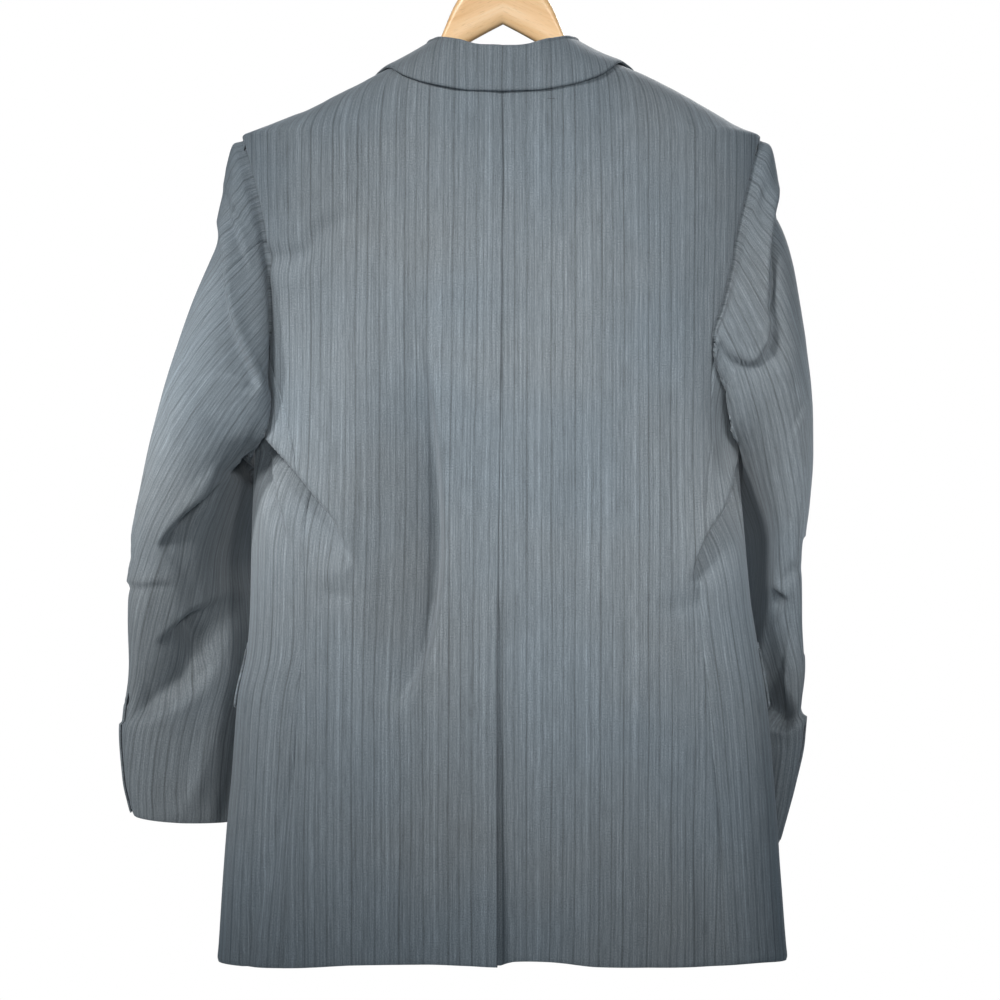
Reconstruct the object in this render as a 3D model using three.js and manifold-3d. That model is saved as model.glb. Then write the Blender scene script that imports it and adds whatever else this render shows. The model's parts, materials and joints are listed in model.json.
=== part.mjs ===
// A men's two-button blazer hanging on a contoured wooden hanger with a steel hook.
// Millimetres. X points to the wearer's right, the back faces -Y, and Z is up.
// The garment is worked out with Z = 0 at its hem; the whole group then moves down,
// so that the origin is the inside top of the hook, where a rail carries it.
import * as THREE from "three";
import { mergeVertices } from "three/addons/utils/BufferGeometryUtils.js";
import Module from "manifold-3d";

const wasm = await Module();
wasm.setup();

// ---- Driving dimensions -------------------------------------------------------------
const CLOTH = 2.0; // wall of one worsted panel with its interlining
const TURNED = 2.4; // wall of collar, lapel and flaps, which are two layers pressed flat
const SEAM = 0.3; // gap between neighbouring pieces
const ROUNDNESS = 2.3; // superellipse power of the body's plan: 2 is an ellipse
const SHOULDER = 741; // height of the shoulder point above the hem
const UNDERARM = 505; // height of the armhole's lowest point
const SEAM_TOP = 545; // where the side-panel seams run into the armhole
const NECK_SIDE = 812; // height where the shoulder seam meets the neck
const HEM_RISE = 6; // how much higher the hem is at the centre back
const NECK_DIP = 20; // how much lower the neck seam is at the centre back
const DIP_START = 600; // above this height the back panel's rows follow the neck dip
const WRAP = 20; // how far each front crosses the centre line
const VENT_TOP = 283; // top of the centre-back vent
const UNDERLAP = 40; // width of the vent's hidden layer
const BREAK = 388; // where the lapel starts to turn back
const GORGE = 741; // height of the roll line where lapel and collar meet
const BUTTONS_AT = [372, 268]; // heights of the two front buttons
const BACK = -1;
const FRONT = 1;
const LEFT = -1; // wearer's left
const RIGHT = 1;

const CHARCOAL = 0x6c757e;
const CHARCOAL_UNDER = 0x5d666f;
const HORN = 0x2b2c30;
const BEECH = 0xf0bd80;
const STEEL = 0xc4c6c8;

// ---- Tables -------------------------------------------------------------------------
// Half widths and depths of the body by height.
const BODY = columns(["z", "left", "right", "back", "front"], [
  [0, 257, 256, 84, 82],
  [55, 254, 252, 84, 84],
  [145, 249, 245, 84, 90],
  [235, 241, 237, 84, 97],
  [325, 233, 228, 86, 102],
  [400, 224, 221, 90, 106],
  [463, 217, 214, 95, 110],
  [525, 219, 217, 99, 111],
  [600, 226, 222, 99, 106],
  [660, 232, 229, 94, 97],
  [700, 235, 232, 88, 88],
  [741, 234, 231, 79, 76],
  [747, 220, 217, 78, 74],
  [753, 203, 204, 77, 72],
  [765, 175, 183, 74, 67],
  [783, 138, 151, 70, 57],
  [798, 108, 122, 67, 45],
  [812, 79, 84, 62, 32],
  [832, 40, 42, 48, 20],
]);

// Distance of the two side-panel seams from the centre line by height.
const SIDE_SEAMS = columns(["z", "back", "front"], [
  [0, 195, 200],
  [99, 192, 195],
  [234, 182, 188],
  [324, 175, 182],
  [436, 181, 188],
  [482, 190, 196],
  [545, 206, 204],
]);

// Front edge, then roll line: distance from the centre towards the front's own side.
const FRONT_EDGE = columns(["z", "x"], [
  [0, 96],
  [4, 80],
  [12, 66],
  [30, 47],
  [65, 21],
  [105, 3],
  [145, -9],
  [200, -18],
  [250, -WRAP],
  [BREAK, -WRAP],
  [430, -10],
  [520, 9],
  [640, 34],
  [GORGE, 54],
  [772, 61],
  [798, 66],
  [812, 67],
]);

// How far the left front rides above the body form, so that it clears what it covers.
const WRAP_LIFT = columns(["z", "lift"], [
  [0, 3],
  [300, 3.4],
  [360, 6],
  [395, 7.4],
  [480, 7.2],
  [540, 3],
  [620, 0],
  [812, 0],
]);

// Armhole half widths towards the back and the front, on each side.
const ARMHOLE = {
  [LEFT]: { back: 43, front: 55 },
  [RIGHT]: { back: 54, front: 57 },
};
const ARMHOLE_EGG = 0.15; // fullness shifted towards the underarm

// Sleeve sections by the distance down the sleeve: outer and inner point, the section's
// middle in Y, how far the outer point leans back, and the half depth.
const SLEEVE_COLUMNS = ["down", "outX", "outZ", "inX", "inZ", "midY", "lean", "half"];
const SLEEVE = {
  [LEFT]: columns(SLEEVE_COLUMNS, [
    [0, 234, 741, 219, 505, 2, 0, 50],
    [8, 243, 735, 220, 500, 2, 0, 56],
    [26, 250, 718, 221, 494, 3, 0, 62],
    [55, 254, 688, 222, 486, 4, 1, 68],
    [100, 266, 645, 224, 476, 7, 3, 73],
    [160, 288, 588, 226, 460, 11, 6, 74],
    [225, 309, 524, 228, 440, 15, 11, 70],
    [280, 321, 470, 229, 412, 20, 16, 64],
    [330, 330, 423, 229, 380, 26, 21, 58],
    [380, 336, 372, 227, 345, 32, 25, 52],
    [430, 339, 322, 224, 303, 38, 27, 47],
    [490, 341, 262, 221, 250, 45, 28, 42],
    [545, 344, 205, 218, 196, 49, 28, 38],
    [590, 341, 160, 214, 155, 51, 28, 34],
    [622, 336, 131, 211, 127, 52, 27, 31],
  ]),
  [RIGHT]: columns(SLEEVE_COLUMNS, [
    [0, 231, 741, 217, 505, 2, 0, 56],
    [8, 240, 733, 218, 500, 2, 0, 60],
    [26, 247, 714, 219, 494, 3, 0, 64],
    [55, 253, 684, 220, 486, 5, 1, 69],
    [100, 260, 640, 221, 476, 9, 3, 73],
    [160, 269, 578, 221, 460, 15, 8, 75],
    [225, 277, 514, 220, 438, 24, 15, 72],
    [280, 279, 460, 217, 408, 34, 22, 66],
    [330, 276, 410, 212, 375, 44, 29, 60],
    [380, 269, 360, 205, 340, 57, 35, 53],
    [430, 269, 308, 197, 295, 73, 38, 45],
    [490, 273, 250, 187, 240, 88, 38, 40],
    [545, 271, 196, 177, 185, 99, 37, 37],
    [590, 262, 152, 167, 140, 102, 35, 34],
    [640, 250, 101, 156, 92, 106, 33, 30],
  ]),
};
const SLEEVE_LENGTH = { [LEFT]: 622, [RIGHT]: 640 };
const CAP_BLEND = 90; // distance over which the armhole's shape fades out of the sleeve
const UNDERARM_EASE = 0.5; // extra room between sleeve and body, growing towards the underarm

// Angles of the hind-arm and fore-arm seams round the sleeve: 0 is the outer side, -90 the back.
const SLEEVE_SEAM_COLUMNS = ["down", "hind", "fore"];
const SLEEVE_SEAMS = {
  [LEFT]: columns(SLEEVE_SEAM_COLUMNS, [
    [0, -80, 112],
    [100, -62, 120],
    [225, -35, 140],
    [330, -18, 155],
    [430, -9, 165],
    [640, -4, 172],
  ]),
  [RIGHT]: columns(SLEEVE_SEAM_COLUMNS, [
    [0, -80, 112],
    [100, -72, 116],
    [225, -54, 124],
    [330, -40, 134],
    [430, -22, 146],
    [540, -4, 158],
    [640, 3, 165],
  ]),
};
const CUFF_VENT = 95; // length of the cuff vent
const VENT_UNDER_DEG = 17; // how far the under sleeve runs on beneath the top sleeve there
// The row of cuff buttons: millimetres up from the cuff's edge, and degrees from the seam.
const CUFF_BUTTONS = { first: 36, pitch: 18, fromSeam: 24 };

// Collar stations from the centre back round to the gorge, for one side: the point on the
// fold, the point on the outer edge, the foot of the stand, and how flat the leaf lies.
const COLLAR_POINTS = ["foldX", "foldY", "foldZ", "edgeX", "edgeY", "edgeZ", "footX", "footY", "footZ"];
const COLLAR = columns(["at", ...COLLAR_POINTS, "lie"], [
  [0, 0, -63, 820, 0, -76, 779, 0, -66, 793, 0],
  [25, 22, -60, 821, 31, -75, 780, 23, -64, 794, 0],
  [48, 42, -50, 824, 61, -71, 784, 45, -57, 798, 0],
  [70, 57, -33, 827, 90, -56, 791, 65, -40, 806, 0.1],
  [95, 66, -8, 828, 111, -12, 802, 77, -12, 813, 0.35],
  [120, 69, 16, 819, 122, 22, 786, 74, 16, 810, 0.7],
  [148, 67, 41, 799, 127, 48, 770, 69, 38, 797, 1],
  [180, 61, 60, 772, 127, 62, 752, 63, 58, 770, 1],
  [214, 54, 74, 742, 123, 72, 738, 56, 72, 742, 1],
]);
const COLLAR_END = 214;
const STAND_END = 125; // beyond this the stand has run out into the neck seam
const NOTCH_DIP = 20; // how far the gorge seam drops from roll line to notch
const NOTCH_AT = 0.58; // share of the collar's end edge that is gorge seam

// Outer edge of the lapel by the height of the roll line point it belongs to.
const LAPEL = columns(["z", "x", "drop"], [
  [BREAK + 4, -9, 2],
  [430, 24, 8],
  [470, 47, 14],
  [520, 67, 21],
  [580, 86, 29],
  [640, 103, 36],
  [700, 121, 41],
  [GORGE - 1.4, 133, 43],
]);

const FRONT_BUTTON = { radius: 10, thickness: 3.2 };
const CUFF_BUTTON = { radius: 7.5, thickness: 2.6 };
const FLAP = { top: 279, height: 55, frontX: 116, sideX: 240, slant: 5 };

// ---- Hanger -------------------------------------------------------------------------
const HOOK_RADIUS = 24; // to the wire's middle
const WIRE = 2.3; // radius of the hook's wire
const HOOK_CENTRE = 944;
const HANG_POINT = HOOK_CENTRE + HOOK_RADIUS - WIRE;
const NECK_TOP = 896;
const HANGER_TIP = 219;
// The neck's top edge by distance from the middle. Beyond it the top follows the
// shoulder seams from below.
const HANGER_NECK = columns(["x", "top"], [
  [0, NECK_TOP],
  [17, NECK_TOP - 1],
  [25, 886],
  [43, 860],
  [62, 819],
  [70, 812],
  [84, 806],
]);
const HANGER_ARM = columns(["x", "bottom", "half"], [
  [0, 842, 8],
  [17, 833, 8],
  [43, 818, 8],
  [62, 805, 8.5],
  [84, 792, 9.5],
  [120, 768, 12],
  [160, 744, 16],
  [200, 727, 20],
  [HANGER_TIP, 722, 21],
]);

// ---- Curves and fields --------------------------------------------------------------
// Turns rows into one smooth function per named column, read by the first column.
function columns(names, rows) {
  const xs = rows.map((row) => row[0]);
  const made = {};
  names.slice(1).forEach((name, i) => {
    made[name] = smoothCurve(xs, rows.map((row) => row[i + 1]));
  });
  return made;
}

// Monotone cubic through the points, straight beyond its ends.
function smoothCurve(xs, ys) {
  const last = xs.length - 1;
  const slope = xs.slice(1).map((x, i) => (ys[i + 1] - ys[i]) / (x - xs[i]));
  const tangent = xs.map((_, i) => {
    if (i === 0) return slope[0];
    if (i === last) return slope[last - 1];
    const product = slope[i - 1] * slope[i];
    return product <= 0 ? 0 : (2 * product) / (slope[i - 1] + slope[i]);
  });
  return (x) => {
    if (x <= xs[0]) return ys[0] + (x - xs[0]) * tangent[0];
    if (x >= xs[last]) return ys[last] + (x - xs[last]) * tangent[last];
    let i = 0;
    while (x > xs[i + 1]) i++;
    const h = xs[i + 1] - xs[i];
    const t = (x - xs[i]) / h;
    const t2 = t * t;
    const t3 = t2 * t;
    return (
      ys[i] * (2 * t3 - 3 * t2 + 1) +
      tangent[i] * h * (t3 - 2 * t2 + t) +
      ys[i + 1] * (3 * t2 - 2 * t3) +
      tangent[i + 1] * h * (t3 - t2)
    );
  };
}

const mix = (a, b, t) => a + (b - a) * t;
const clamp01 = (t) => Math.min(1, Math.max(0, t));
const smooth = (from, to, x) => {
  const t = clamp01((x - from) / (to - from));
  return t * t * (3 - 2 * t);
};
const radians = (degrees) => (degrees * Math.PI) / 180;
const vec = (x, y, z) => new THREE.Vector3(x, y, z);
const signedPower = (value, power) => Math.sign(value) * Math.abs(value) ** power;
const range = (count) => Array.from({ length: count }, (_, i) => i);
const steps = (count) => range(count).map((i) => i / (count - 1));

const reach = (side, z) => (side < 0 ? BODY.left(z) : BODY.right(z));
const depth = (face, z) => (face < 0 ? BODY.back(z) : BODY.front(z));

// Distance in Y of the body form from the shoulder plane, at (x, z), on one face.
function bodyY(x, z, face) {
  const share = Math.min(1, Math.abs(x) / reach(Math.sign(x) || 1, z));
  return face * depth(face, z) * (1 - share ** ROUNDNESS) ** (1 / ROUNDNESS);
}

// The body form as an implicit function: 0 on the surface, positive outside.
function bodyField(p) {
  const across = (Math.abs(p.x) / reach(p.x < 0 ? -1 : 1, p.z)) ** ROUNDNESS;
  const deep = (Math.abs(p.y) / depth(p.y < 0 ? -1 : 1, p.z)) ** ROUNDNESS;
  return across + deep - 1;
}

function bodyGradient(p) {
  const d = 0.05;
  const slope = (axis) => {
    const ahead = p.clone();
    const behind = p.clone();
    ahead[axis] += d;
    behind[axis] -= d;
    return (bodyField(ahead) - bodyField(behind)) / (2 * d);
  };
  return vec(slope("x"), slope("y"), slope("z"));
}

// Broad folds of the hanging cloth, as troughs and ridges on the body form.
const FOLDS = [
  { face: BACK, x: [-208, -150], z: [470, 350], rise: -6, width: 17 },
  { face: BACK, x: [-100, -88], z: [470, 250], rise: -5, width: 24 },
  { face: BACK, x: [206, 172], z: [470, 310], rise: -6, width: 17 },
  { face: BACK, x: [-205, -226], z: [210, 0], rise: -5, width: 18 },
  { face: BACK, x: [214, 232], z: [190, 0], rise: -4, width: 18 },
  { face: FRONT, x: [-200, -150], z: [470, 330], rise: -5, width: 18 },
  { face: FRONT, x: [200, 155], z: [470, 320], rise: -5, width: 18 },
];

function relief(x, z, face) {
  let height = 0;
  for (const fold of FOLDS) {
    if (fold.face !== face) continue;
    const dx = fold.x[1] - fold.x[0];
    const dz = fold.z[1] - fold.z[0];
    const t = clamp01(((x - fold.x[0]) * dx + (z - fold.z[0]) * dz) / (dx * dx + dz * dz));
    const away = Math.hypot(x - fold.x[0] - t * dx, z - fold.z[0] - t * dz);
    height += fold.rise * Math.exp(-((away / fold.width) ** 2)) * fadeToSide(x, z);
  }
  return height;
}

// Folds die out before the side of the body, where the faces join.
function fadeToSide(x, z) {
  return 1 - smooth(0.9, 0.99, Math.abs(x) / reach(Math.sign(x) || 1, z));
}

// A point of the body form at (x, z), moved out by lift, with the surface's normal.
function onBody(x, z, face, lift = 0) {
  const at = vec(x, bodyY(x, z, face), z);
  const normal = bodyGradient(at).normalize();
  const out = relief(x, z, face) + lift;
  return { at: at.addScaledVector(normal, out), normal };
}

// The nearest point of the body form to a rough point, moved out by lift.
function seated(rough, lift) {
  const at = rough.clone();
  for (let i = 0; i < 12; i++) {
    const gradient = bodyGradient(at);
    at.addScaledVector(gradient, -bodyField(at) / gradient.lengthSq());
  }
  const normal = bodyGradient(at).normalize();
  const out = relief(at.x, at.z, Math.sign(at.y) || 1) + lift;
  return { at: at.addScaledVector(normal, out), normal };
}

// A point moved out, where needed, to stay at least lift above the body form.
function clearOfBody(point, lift) {
  const height = bodyField(point) / bodyGradient(point).length();
  return height >= lift ? point : seated(point, lift).at;
}

// Angle across one half of the body: 0 at the centre line, 90 degrees at the side.
const angleAcross = (x, side, z) =>
  Math.asin(signedPower(Math.max(-1, Math.min(1, x / reach(side, z))), ROUNDNESS / 2));
const acrossAt = (angle, side, z) =>
  reach(side, z) * signedPower(Math.sin(angle), 2 / ROUNDNESS);

// ---- Armhole ------------------------------------------------------------------------
const ARMHOLE_MIDDLE = (SHOULDER + UNDERARM) / 2;
const ARMHOLE_HALF = (SHOULDER - UNDERARM) / 2;

function armholeY(side, angle) {
  const half = Math.sin(angle) < 0 ? ARMHOLE[side].back : ARMHOLE[side].front;
  return half * Math.sin(angle) * (1 - ARMHOLE_EGG * Math.cos(angle));
}

// Point of the armhole seam: angle 0 is the shoulder point, -90 degrees the back.
function armhole(side, angle) {
  const z = ARMHOLE_MIDDLE + ARMHOLE_HALF * Math.cos(angle);
  const y = armholeY(side, angle);
  const deep = (Math.abs(y) / depth(Math.sign(y) || 1, z)) ** ROUNDNESS;
  return vec(side * reach(side, z) * (1 - deep) ** (1 / ROUNDNESS), y, z);
}

const armholeX = (side, face, z) => {
  const angle = Math.acos(Math.max(-1, Math.min(1, (z - ARMHOLE_MIDDLE) / ARMHOLE_HALF)));
  return Math.abs(armhole(side, face * angle).x);
};

// ---- Edges of the body panels ---------------------------------------------------------
function sideSeamX(side, face, z) {
  const table = face < 0 ? SIDE_SEAMS.back : SIDE_SEAMS.front;
  const miss = armholeX(side, face, SEAM_TOP) - table(SEAM_TOP);
  return table(z) + miss * smooth(SEAM_TOP - 90, SEAM_TOP, z);
}

// Outer edge of a back or front panel: side seam, then armhole, then shoulder seam.
function outerX(side, face, z) {
  if (z >= SHOULDER) return reach(side, z);
  if (z >= SEAM_TOP) return armholeX(side, face, z);
  return sideSeamX(side, face, z);
}

// Centre-back edge. Below the vent's top the right panel runs on under the left one.
function centreBackX(side, z) {
  const seam = mix(-5, 0, smooth(200, 700, z));
  if (side === LEFT) return -seam;
  return seam - (UNDERLAP - 5) * smooth(VENT_TOP + 12, VENT_TOP - 18, z);
}

// The right panel sinks under the left one along the vent.
function ventTuck(side, x, z) {
  if (side === LEFT) return 0;
  const near = 1 - smooth(2, 46, x);
  return -near * mix(2.6, 8, clamp01(1 - z / VENT_TOP)) * smooth(VENT_TOP + 50, VENT_TOP + 8, z);
}

function wrapLift(side, x, z) {
  if (side === RIGHT) return 0;
  return WRAP_LIFT.lift(z) * (1 - smooth(WRAP + 4, 100, -x));
}

// ---- Walls of cloth -------------------------------------------------------------------
// Moves the sides and the top of a grid inwards, so that neighbours keep the seam gap.
function trimmed(grid, by = {}) {
  const rows = grid.length;
  const cols = grid[0].length;
  const pull = (point, towards, distance) => {
    const way = towards.at.clone().sub(point.at);
    point.at.addScaledVector(way.normalize(), distance);
  };
  grid.forEach((row) => {
    pull(row[0], row[1], by.start ?? SEAM / 2);
    pull(row[cols - 1], row[cols - 2], by.end ?? SEAM / 2);
  });
  range(cols).forEach((c) => {
    pull(grid[rows - 1][c], grid[rows - 2][c], by.top ?? SEAM / 2);
  });
  return grid;
}

// Normals of a grid of bare points by central differences; flip turns them round.
function withNormals(points, flip) {
  const rows = points.length;
  const cols = points[0].length;
  return points.map((row, r) =>
    row.map((at, c) => {
      const up = points[Math.min(rows - 1, r + 1)][c].clone().sub(points[Math.max(0, r - 1)][c]);
      const along = row[Math.min(cols - 1, c + 1)].clone().sub(row[Math.max(0, c - 1)]);
      return { at: at.clone(), normal: along.cross(up).normalize().multiplyScalar(flip) };
    }),
  );
}

// Closes a grid of surface points into a wall of the given thickness below the surface.
function wall(grid, thickness) {
  const rows = grid.length;
  const cols = grid[0].length;
  const outer = grid.flat().map((point) => point.at);
  const inner = grid.flat().map((point) => point.at.clone().addScaledVector(point.normal, -thickness));
  const points = [...outer, ...inner];
  const index = [];
  // Splits a quad along its shorter diagonal, which keeps curved cloth even.
  const quad = (a, b, c, d) => {
    if (points[a].distanceTo(points[c]) <= points[b].distanceTo(points[d])) index.push(a, b, c, a, c, d);
    else index.push(a, b, d, b, c, d);
  };
  const at = (layer, r, c) => layer * rows * cols + r * cols + c;
  for (let r = 0; r < rows - 1; r++) {
    for (let c = 0; c < cols - 1; c++) {
      quad(at(0, r, c), at(0, r, c + 1), at(0, r + 1, c + 1), at(0, r + 1, c));
      quad(at(1, r, c), at(1, r + 1, c), at(1, r + 1, c + 1), at(1, r, c + 1));
    }
    quad(at(0, r, 0), at(0, r + 1, 0), at(1, r + 1, 0), at(1, r, 0));
    quad(at(0, r, cols - 1), at(1, r, cols - 1), at(1, r + 1, cols - 1), at(0, r + 1, cols - 1));
  }
  for (let c = 0; c < cols - 1; c++) {
    quad(at(0, 0, c), at(1, 0, c), at(1, 0, c + 1), at(0, 0, c + 1));
    quad(at(0, rows - 1, c), at(0, rows - 1, c + 1), at(1, rows - 1, c + 1), at(1, rows - 1, c));
  }
  return solidGeometry(points, index);
}

// A geometry from points and triangles, with its faces turned to point out.
function solidGeometry(points, index) {
  let volume = 0;
  for (let i = 0; i < index.length; i += 3) {
    const [a, b, c] = [points[index[i]], points[index[i + 1]], points[index[i + 2]]];
    volume += a.dot(b.clone().cross(c));
  }
  const turned = volume < 0 ? index.slice().reverse() : index;
  const geometry = new THREE.BufferGeometry().setFromPoints(points);
  geometry.setIndex(turned);
  geometry.computeVertexNormals();
  return geometry;
}

const group = new THREE.Group();

function addPiece(name, geometry, colour, roughness = 0.85, metalness = 0) {
  const material = new THREE.MeshStandardMaterial({ color: colour, roughness, metalness });
  const mesh = new THREE.Mesh(geometry, material);
  mesh.name = name;
  mesh.position.z = -HANG_POINT;
  group.add(mesh);
  return mesh;
}

// ---- Body panels ----------------------------------------------------------------------
const LOWER_ROWS = [0, 30, 65, 105, 145, 190, 235, 268, 300, 345, 390, 430, 470, 495, 520, SEAM_TOP];
const LAST_LEVEL_ROW = 470; // above it the side panel's rows bend into the armhole's curve
const UPPER_ROWS = [588, 628, 665, 700, 724, SHOULDER, 747, 753, 765, 783, 798, NECK_SIDE];
const HEM_ROWS = [4, 12];
const PANEL_COLUMNS = 8;
const sideName = (side) => (side < 0 ? "left" : "right");

function backPanel(side) {
  const grid = [...LOWER_ROWS, ...UPPER_ROWS].map((z) => {
    const from = angleAcross(centreBackX(side, z), side, z);
    const to = angleAcross(outerX(side, BACK, z), side, z);
    const dip = NECK_DIP * Math.max(0, (z - DIP_START) / (NECK_SIDE - DIP_START));
    const rise = HEM_RISE * (1 - smooth(0, 145, z));
    return steps(PANEL_COLUMNS).map((share) => {
      const x = acrossAt(mix(from, to, share), side, z);
      const height = z + (rise - dip) * Math.cos((share * Math.PI) / 2) ** 2;
      return onBody(side * x, height, BACK, ventTuck(side, x, z));
    });
  });
  return wall(trimmed(grid), CLOTH);
}

function frontPanel(side) {
  const heights = [...LOWER_ROWS, ...HEM_ROWS, ...UPPER_ROWS.slice(0, -1), 808];
  const grid = heights.sort((a, b) => a - b).map((z) => {
    const from = angleAcross(FRONT_EDGE.x(z), side, z);
    const to = angleAcross(outerX(side, FRONT, z), side, z);
    return steps(PANEL_COLUMNS).map((share) => {
      const x = acrossAt(mix(from, to, share), side, z);
      return onBody(side * x, z, FRONT, wrapLift(side, side * x, z));
    });
  });
  return wall(trimmed(grid, { start: 0 }), CLOTH);
}

// The side panel runs from the back seam round the side to the front seam, and its top
// edge is the foot of the armhole.
function sidePanel(side) {
  const turn = (face, z) => Math.PI / 2 - angleAcross(sideSeamX(side, face, z), side, z);
  const topAngle = Math.acos((SEAM_TOP - ARMHOLE_MIDDLE) / ARMHOLE_HALF);
  const top = steps(7).map((share) => armhole(side, mix(-topAngle, topAngle - 2 * Math.PI, share)));
  const topShare = (point) => {
    const angle = Math.PI / 2 - angleAcross(Math.abs(point.x), side, point.z);
    const back = turn(BACK, SEAM_TOP);
    return (Math.sign(point.y) * angle + back) / (back + turn(FRONT, SEAM_TOP));
  };
  const grid = LOWER_ROWS.map((level) => {
    const z = Math.min(level, LAST_LEVEL_ROW);
    const rise = (level - z) / (SEAM_TOP - LAST_LEVEL_ROW);
    return top.map((point, i) => {
      const height = mix(z, point.z, rise);
      const ends = mix(z, SEAM_TOP, rise);
      const share = mix(i / (top.length - 1), topShare(point), rise);
      const angle = mix(-turn(BACK, ends), turn(FRONT, ends), share);
      const face = angle < 0 ? BACK : FRONT;
      const x = acrossAt(Math.PI / 2 - Math.abs(angle), side, height);
      return onBody(side * x, height, face);
    });
  });
  return wall(trimmed(grid), CLOTH);
}

// ---- Sleeves ----------------------------------------------------------------------------
function sleeveForm(side, angle, down) {
  const s = SLEEVE[side];
  const outer = vec(side * s.outX(down), s.midY(down) - s.lean(down), s.outZ(down));
  const inner = vec(side * s.inX(down), s.midY(down) + s.lean(down), s.inZ(down));
  const middle = outer.clone().add(inner).multiplyScalar(0.5);
  const arm = outer.sub(inner).multiplyScalar(0.5);
  return middle.addScaledVector(arm, Math.cos(angle)).add(vec(0, s.half(down) * Math.sin(angle), 0));
}

function sleevePoint(side, angle, down) {
  const blend = 1 - smooth(0, CAP_BLEND, down);
  const miss = armhole(side, angle).sub(sleeveForm(side, angle, 0));
  const gap = vec(side * (SEAM * 2.5 + UNDERARM_EASE * (1 - Math.cos(angle))), 0, 0);
  return sleeveForm(side, angle, down).addScaledVector(miss, blend).add(gap);
}

function sleeveSurface(side, angle, down, lift = 0) {
  const d = 0.02;
  const along = sleevePoint(side, angle, down + 1).sub(sleevePoint(side, angle, down));
  const round = sleevePoint(side, angle + d, down).sub(sleevePoint(side, angle - d, down));
  const normal = along.cross(round).normalize().multiplyScalar(side);
  const at = sleevePoint(side, angle, down).addScaledVector(normal, lift);
  return { at, normal };
}

const SLEEVE_ROWS = [0, 6, 18, 38, 62, 92, 128, 168, 210, 250, 288, 325, 362, 400, 440, 482];
// At the vent the under sleeve first sinks in, then widens underneath the top sleeve.
const VENT_STEPS = { start: -22, sunk: -8, wide: 2 };

function sleeveRows(side) {
  const length = SLEEVE_LENGTH[side];
  const vent = Object.values(VENT_STEPS).map((step) => length - CUFF_VENT + step);
  return [...SLEEVE_ROWS, ...vent, length - 60, length - 28, length];
}

function topSleeve(side) {
  const grid = sleeveRows(side).map((down) => {
    const hind = SLEEVE_SEAMS[side].hind(down);
    const fore = SLEEVE_SEAMS[side].fore(down);
    const beyond = steps(9).map((share) => mix(hind + VENT_UNDER_DEG, fore, share));
    return [hind, ...beyond].map((degrees) => sleeveSurface(side, radians(degrees), down));
  });
  return wall(trimmed(grid, { top: 0 }), CLOTH);
}

function underSleeve(side) {
  const grid = sleeveRows(side).map((down) => {
    const past = down - SLEEVE_LENGTH[side] + CUFF_VENT;
    const sunk = smooth(VENT_STEPS.start, VENT_STEPS.sunk, past) * (CLOTH + 0.7);
    const wide = smooth(VENT_STEPS.sunk, VENT_STEPS.wide, past) * VENT_UNDER_DEG;
    const hind = SLEEVE_SEAMS[side].hind(down) + 360;
    const fore = SLEEVE_SEAMS[side].fore(down);
    const before = steps(9).map((share) => mix(fore, hind - 1.5, share));
    return [...before, hind + wide].map((degrees) => {
      const under = smooth(hind - 28, hind - 3, degrees);
      return sleeveSurface(side, radians(degrees), down, -sunk * under);
    });
  });
  return wall(trimmed(grid, { top: 0 }), CLOTH);
}

// ---- Collar and lapels --------------------------------------------------------------------
const COLLAR_STATIONS = [0, 13, 25, 37, 48, 59, 70, 82, 95, 107, 120, 134, 148, 164, 180, 197, COLLAR_END];

// Runs stations from the wearer's left end round the back to the right end.
const bothWays = (stations) => [
  ...stations.slice(1).reverse().map((at) => ({ side: LEFT, at })),
  ...stations.map((at) => ({ side: RIGHT, at })),
];

function collarPoint(kind, side, at) {
  const read = (axis) => COLLAR[kind + axis](at);
  return vec(side * read("X"), read("Y"), read("Z"));
}

const foldPoint = (side, at) => collarPoint("fold", side, at);

// The leaf from fold to edge. Behind the neck it drops free; in front it lies on the chest.
function leafPoint(side, at, share) {
  const fold = foldPoint(side, at);
  const edge = collarPoint("edge", side, at);
  const rough = fold.clone().lerp(edge, share);
  const end = smooth(180, COLLAR_END, at);
  const dip = NOTCH_DIP * end * Math.min(share / NOTCH_AT, (1 - share) / (1 - NOTCH_AT));
  rough.z -= dip;
  const lift = TURNED + 1.3 + wrapLift(side, rough.x, rough.z) + 2.2 * (1 - share) ** 2;
  const lying = seated(rough, lift).at;
  const bulge = 3 * Math.sin(Math.PI * share);
  const free = rough.add(vec(rough.x, rough.y, 0).normalize().multiplyScalar(bulge));
  return clearOfBody(free.lerp(lying, Math.max(COLLAR.lie(at), smooth(0.75, 1, share))), lift);
}

function collarFall() {
  const points = steps(6).map((share) =>
    bothWays(COLLAR_STATIONS).map(({ side, at }) => leafPoint(side, at, share)),
  );
  return wall(trimmed(withNormals(points, -1), { start: 0, end: 0, top: 0 }), TURNED);
}

function collarStand() {
  const stations = COLLAR_STATIONS.filter((at) => at < STAND_END);
  const inward = TURNED + 2.5;
  const points = steps(3).map((share) =>
    bothWays(stations).map(({ side, at }) => {
      const foot = collarPoint("foot", side, at);
      const top = foldPoint(side, at);
      const away = vec(top.x, top.y * 1.2, 0).normalize();
      top.addScaledVector(away, -inward);
      top.z -= 2;
      foot.addScaledVector(away, -CLOTH - 0.8);
      foot.z += 1.2;
      return foot.lerp(top, share);
    }),
  );
  return wall(withNormals(points, 1), CLOTH);
}

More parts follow.
